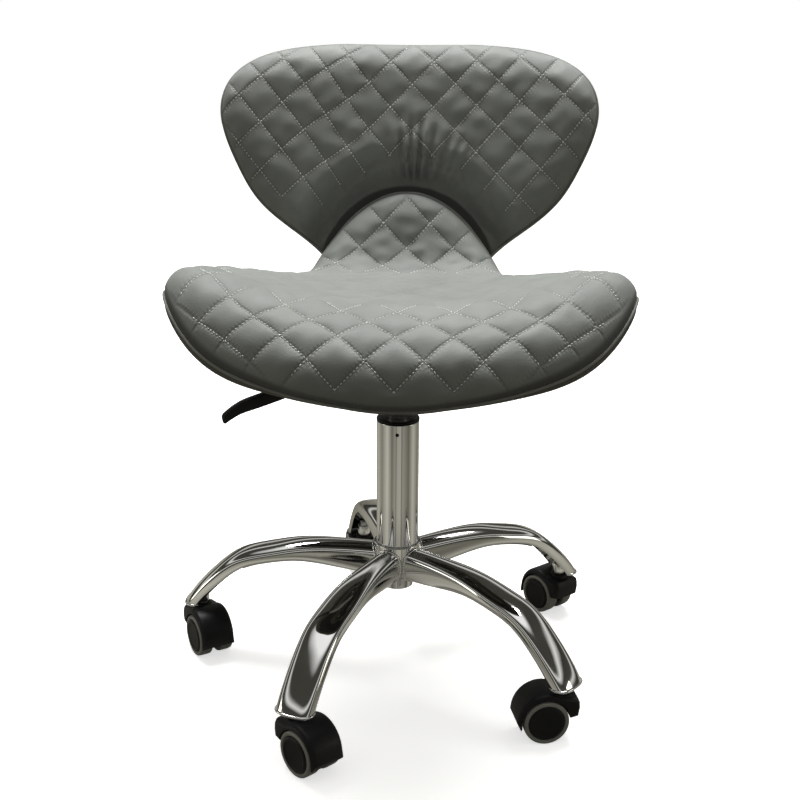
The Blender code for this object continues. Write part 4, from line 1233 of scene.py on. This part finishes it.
# ---- Casters ------------------------------------------------------------------------------------
def hood_mesh():
    """Twin-wheel hood: a rounded body with a pocket for each wheel."""
    outline = [(HOOD_FRONT + 0.0015, 0.0300), (HOOD_FRONT, 0.0400), (HOOD_FRONT + 0.0004, 0.0465),
               (HOOD_FRONT + 0.0030, 0.0520)]
    for turn in np.radians(np.linspace(118, 0, 25)):
        outline.append((TRAIL + HOOD_TAIL * math.cos(turn), AXLE.z + HOOD_HEIGHT * math.sin(turn)))
    outline += [(0.0485, 0.0185), (0.0465, 0.0225), (0.0380, 0.0200)]
    for turn in np.radians(np.linspace(-20, -160, 10)):
        outline.append((TRAIL + 0.0080 * math.cos(turn), AXLE.z + 0.0080 * math.sin(turn)))
    outline.append((0.0000, 0.0260))
    work = bmesh.new()
    floor = work.faces.new([work.verts.new((x, -HOOD_HALF_WIDTH, z)) for x, z in outline])
    grown = bmesh.ops.extrude_face_region(work, geom=[floor])
    raised = [item for item in grown["geom"] if isinstance(item, bmesh.types.BMVert)]
    bmesh.ops.translate(work, verts=raised, vec=(0, 2 * HOOD_HALF_WIDTH, 0))
    rims = [edge for edge in work.edges if abs(edge.verts[0].co.y - edge.verts[1].co.y) < 1e-6
            and min(vertex.co.z for vertex in edge.verts) > 0.0235]
    bmesh.ops.bevel(work, geom=rims, offset=HOOD_EDGE, segments=6, profile=0.5, affect="EDGES")
    bmesh.ops.recalc_face_normals(work, faces=work.faces)
    body = bpy.data.meshes.new("hood")
    work.to_mesh(body)
    work.free()
    boss = turned("boss", rounded(((0, 0.048), (0.0115, 0.048), (0.0115, 0.0575), (0.0095, 0.0600),
                                   (0, 0.0600)), 0.0010), 48)
    body = combine(body, boss, "UNION")
    across = Matrix.Translation((TRAIL, 0, AXLE.z)) @ Matrix.Rotation(math.pi / 2, 4, "X")
    pocket = turned("pocket", ((0, HOOD_WEB), (HOOD_POCKET_RADIUS, HOOD_WEB), (HOOD_POCKET_RADIUS, 0.03),
                               (0, 0.03)), 64)
    body = combine(body, moved(pocket, across), "DIFFERENCE")
    body = combine(body, moved(pocket, across @ Matrix.Rotation(math.pi, 4, "X")), "DIFFERENCE")
    bore = STEM_RADIUS + CLEARANCE
    stem = turned("stem", ((0, 0.0440), (bore, 0.0440), (bore, 0.0800), (0, 0.0800)), 32)
    return combine(body, stem, "DIFFERENCE")


def build_casters():
    hood = hood_mesh()
    radius = AXLE.z
    wheel = turned("wheel", rounded((
        (0.0033, WHEEL_INNER), (TREAD_INNER_RADIUS - 0.0002, WHEEL_INNER),
        (TREAD_INNER_RADIUS - 0.0002, WHEEL_OUTER - 0.0012), (0.0180, WHEEL_OUTER), (0.0160, WHEEL_OUTER),
        (0.0154, WHEEL_OUTER - 0.0005), (0, WHEEL_OUTER - 0.0005), (0, 0.0208), (0.0033, 0.0208)),
        0.0005), 72)
    tread = turned("tread", rounded((
        (TREAD_INNER_RADIUS, WHEEL_INNER + 0.0008), (radius - 0.0004, WHEEL_INNER + 0.0008),
        (radius, WHEEL_INNER + 0.0034), (radius, WHEEL_OUTER - 0.0050),
        (radius - 0.0004, WHEEL_OUTER - 0.0012), (TREAD_INNER_RADIUS, WHEEL_OUTER - 0.0008)),
        0.0022, 6), 96)
    for index in range(1, CASTERS + 1):
        label = f"caster_{index}"
        stem = Vector(JOINTS[f"{label}_swivel"]["pos_m"])
        axle = Vector(JOINTS[f"{label}_spin_left"]["pos_m"])
        trail = axle.xy - stem.xy
        frame_place = (Matrix.Translation((stem.x, stem.y, 0))
                       @ Matrix.Rotation(math.atan2(trail.y, trail.x), 4, "Z"))
        cover = add_piece(f"{label}_hood_shell", hood, NYLON, label, 36, frame_place)
        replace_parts(cover, f"{label}_hood")
        for side, turn in (("left", math.pi / 2), ("right", -math.pi / 2)):
            place = frame_place @ Matrix.Translation((TRAIL, 0, AXLE.z)) @ Matrix.Rotation(turn, 4, "X")
            body = f"{label}_wheel_{side}"
            disc = add_piece(f"{body}_disc", wheel, NYLON, body, 36, place)
            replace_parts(disc, body)
            ring = add_piece(f"{label}_tread_{side}_ring", tread, TREAD, body, 50, place)
            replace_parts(ring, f"{label}_tread_{side}")


build_base()
build_casters()


# ---- Column and lever ---------------------------------------------------------------------------
def build_column():
    inside = COLUMN_RADIUS - 0.0018
    here = Matrix.Translation(AXIS)
    column = turned("column", rounded((
        (COLUMN_RADIUS, COLUMN_TOP), (COLUMN_RADIUS, COLUMN_LOW.z), (0.0058, COLUMN_LOW.z),
        (0.0058, COLUMN_LOW.z + 0.004), (inside, COLUMN_LOW.z + 0.004), (inside, COLUMN_TOP)), 0.0006), 128)
    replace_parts(add_piece("column_chrome", column, CHROME, "base", 50, here), "column_tube")
    collar = turned("collar", rounded((
        (0.0253, COLLAR_TOP - 0.0010), (0.0253, COLUMN_TOP + 0.0022), (0.0247, COLUMN_TOP + 0.0018),
        (0.0247, COLUMN_TOP + 0.0014), (0.0253, COLUMN_TOP + 0.0010), (0.0253, COLUMN_TOP + CLEARANCE),
        (inside - CLEARANCE, COLUMN_TOP + CLEARANCE), (inside - CLEARANCE, 0.2500),
        (TUBE_RADIUS + CLEARANCE, 0.2500), (TUBE_RADIUS + CLEARANCE, COLLAR_TOP), (0.0243, COLLAR_TOP)),
        0.0003), 96)
    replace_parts(add_piece("column_collar", collar, NYLON, "base", 50, here), "guide_bush")
    proud = COLUMN_RADIUS + 0.0004
    sunk = COLUMN_RADIUS - 0.0015
    screw = turned("collar_screw", rounded(((0, proud), (0.0022, proud), (0.0022, sunk), (0, sunk)), 0.0003),
                   24)
    front = here @ Matrix.Translation((0, 0, COLUMN_TOP - 0.0110)) @ Matrix.Rotation(math.pi / 2, 4, "X")
    add_piece("collar_screw", screw, NYLON, "base", 50, front)
    low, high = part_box("pressure_tube")
    tube_mesh = turned("pressure", rounded((
        (TAPER_RADIUS, high.z), (TUBE_RADIUS, 0.3215), (TUBE_RADIUS, low.z), (0.0053, low.z),
        (0.0053, low.z + 0.0080), (0.0126, low.z + 0.0080), (0.0126, 0.3220), (0, 0.3220), (0, 0.3330),
        (0.0034, 0.3330), (0.0034, high.z)), 0.0004), 96)
    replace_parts(add_piece("gas_spring_tube", tube_mesh, CHROME, "seat_unit", 50, here),
                "pressure_tube")


def build_paddle():
    """Drooping hand paddle, rounded all over."""
    route = spline(PADDLE_ROUTE, 10)
    rings = []
    for i, (x, z) in enumerate(route):
        t = i / (len(route) - 1)
        end = math.sqrt(max(0.0, 1 - (1 - min(t, 1 - t, 0.03) / 0.03) ** 2)) * 0.25 + 0.75
        half = (0.0068 + 0.0012 * math.sin(math.pi * t)) * end
        top = (0.0060 - 0.0020 * t) * end
        low = (-0.0078 - 0.0022 * math.sin(math.pi * t)) * end
        section = soften(((-half, low * 0.8), (-half, top * 0.2), (-half * 0.45, top), (half * 0.45, top),
                          (half, top * 0.2), (half, low * 0.8), (half * 0.7, low), (-half * 0.7, low)), 3)
        lean = mix(0.15, -0.30, min(1.0, t * 6))
        rings.append([(x + lean * height, across, z + height) for across, height in section])
    paddle = add_piece("lever_paddle_grip", loft("lever_paddle_grip", rings), NYLON, "lever",
                       45, Matrix.Translation(AXIS))
    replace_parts(paddle, "lever_paddle")


build_column()
build_paddle()

# The CAD pieces that keep their shape get the detailed finishes.
KEPT = {"seat_plate": POWDER, "lever_rod": STEEL, "piston_rod": STEEL, "retaining_clip": STEEL,
        "thrust_bearing": STEEL, "release_pin": STEEL, "back_clamp": STEEL}
KEPT.update({f"plate_bolt_{index}": STEEL for index in range(1, 5)})
for index in range(1, CASTERS + 1):
    KEPT.update({f"caster_{index}_stem": STEEL, f"caster_{index}_axle": STEEL})
for node, material in KEPT.items():
    for place in NODES[node].material_slots:
        place.material = material


# ---- Room, light and camera ---------------------------------------------------------------------
def set_stops(ramp, bands):
    """Fills a colour ramp with (place, brightness) pairs; low brightness is a little warmer."""
    stops = ramp.color_ramp.elements
    for index, (spot, value) in enumerate(bands):
        stop = stops[index] if index < 2 else stops.new(spot)
        stop.position = spot
        warm = WARMTH * (1 - min(value, 1.0))
        stop.color = (value, value * (1 - 0.15 * warm), value * (1 - warm), 1)


def build_floor():
    """Pale floor that looks white but sends little light back up under the stool."""
    shader = Shader("pale_floor", FLOOR_COLOUR, 0.5)
    shader.main.inputs["Specular IOR Level"].default_value = 0.0
    rays = shader.node("ShaderNodeLightPath")
    shader.tint(rays.outputs["Is Camera Ray"], FLOOR_BOUNCE, FLOOR_COLOUR)
    glow_colour = shader.blend(rays.outputs["Is Glossy Ray"], (1, 1, 1), FLOOR_REFLECTION)
    shader.link(glow_colour, shader.main.inputs["Emission Color"])
    distance = shader.node("ShaderNodeVectorMath")
    distance.operation = "LENGTH"
    shader.link(shader.place(), distance.inputs[0])
    glow = shader.maths("MULTIPLY", rays.outputs["Is Camera Ray"],
                        shader.spread(distance.outputs["Value"], 0.5, 2.0, *FLOOR_GLOW))
    stripes = shader.node("ShaderNodeTexGradient")
    stripes.gradient_type = "RADIAL"
    shader.link(shader.place(), stripes.inputs["Vector"])
    ramp = shader.node("ShaderNodeValToRGB")
    set_stops(ramp, FLOOR_STRIPES)
    shader.link(stripes.outputs["Fac"], ramp.inputs["Fac"])
    seen = shader.maths("MULTIPLY", rays.outputs["Is Glossy Ray"], ramp.outputs["Color"])
    shader.link(shader.maths("ADD", glow, seen), shader.main.inputs["Emission Strength"])
    work = bmesh.new()
    bmesh.ops.create_grid(work, x_segments=1, y_segments=1, size=9.0)
    mesh = bpy.data.meshes.new("floor")
    work.to_mesh(mesh)
    work.free()
    mesh.materials.append(shader.material)
    floor = bpy.data.objects.new("floor", mesh)
    bpy.context.scene.collection.objects.link(floor)


def area_light(name, place, aim, size, power, colour):
    light = bpy.data.lights.new(name, "AREA")
    light.shape = "RECTANGLE"
    light.size, light.size_y = size
    light.energy = power
    light.color = colour
    lamp = bpy.data.objects.new(name, light)
    lamp.location = place
    lamp.rotation_euler = (Vector(aim) - Vector(place)).to_track_quat("-Z", "Y").to_euler()
    bpy.context.scene.collection.objects.link(lamp)


def ramp_background(tree, bands):
    """Background whose brightness runs up the sky in bands of (share of the height, brightness)."""
    background = tree.nodes.new("ShaderNodeBackground")
    place = tree.nodes.new("ShaderNodeTexCoord")
    split = tree.nodes.new("ShaderNodeSeparateXYZ")
    height = tree.nodes.new("ShaderNodeMapRange")
    height.inputs["From Min"].default_value = -1
    ramp = tree.nodes.new("ShaderNodeValToRGB")
    set_stops(ramp, bands)
    tree.links.new(place.outputs["Generated"], split.inputs["Vector"])
    tree.links.new(split.outputs["Z"], height.inputs["Value"])
    tree.links.new(height.outputs["Result"], ramp.inputs["Fac"])
    tree.links.new(ramp.outputs["Color"], background.inputs["Color"])
    return background


def build_world():
    """White backdrop; the stool is lit from a soft sky and reflects a darker room with bright bands."""
    world = bpy.data.worlds.new("studio")
    bpy.context.scene.world = world
    world.use_nodes = True
    tree = world.node_tree
    tree.nodes["Background"].inputs["Color"].default_value = (*BACKDROP, 1)
    sky = ramp_background(tree, SKY_BANDS)
    room = ramp_background(tree, ROOM_BANDS)
    rays = tree.nodes.new("ShaderNodeLightPath")
    choice = tree.nodes["Background"].outputs["Background"]
    for source, flag in ((sky, "Is Diffuse Ray"), (room, "Is Glossy Ray")):
        pick = tree.nodes.new("ShaderNodeMixShader")
        tree.links.new(rays.outputs[flag], pick.inputs["Fac"])
        tree.links.new(choice, pick.inputs[1])
        tree.links.new(source.outputs["Background"], pick.inputs[2])
        choice = pick.outputs["Shader"]
    tree.links.new(choice, tree.nodes["World Output"].inputs["Surface"])


def build_camera():
    camera = bpy.data.cameras.new("camera")
    camera.lens = CAMERA_LENS
    camera.sensor_width = CAMERA_SENSOR
    eye = bpy.data.objects.new("camera", camera)
    turn = Matrix.Rotation(math.radians(CAMERA_TURN), 4, "Z")
    spot = turn @ Vector(CAMERA_PLACE) - Vector(CAMERA_SHIFT) + AXIS
    heading = math.radians(CAMERA_TURN - CAMERA_AIM)
    eye.matrix_world = (Matrix.Translation(spot) @ Matrix.Rotation(heading, 4, "Z")
                        @ Matrix.Rotation(math.radians(90 - CAMERA_DOWN), 4, "X")
                        @ Matrix.Rotation(math.radians(CAMERA_ROLL), 4, "Z"))
    bpy.context.scene.collection.objects.link(eye)
    bpy.context.scene.camera = eye


build_floor()
build_world()
build_camera()
area_light("overhead", (0.0, 0.64, 2.4), (0, 0, 0.3), (2.3, 0.7), OVERHEAD_POWER, (1, 1, 1))
for side in (-1, 1):
    area_light("side_fill", (side * 2.4, -0.5, 0.45), (0, 0, 0.4), (0.8, 0.6), SIDE_FILL_POWER,
               SIDE_FILL_COLOUR)
bpy.context.scene.view_settings.view_transform = "Standard"
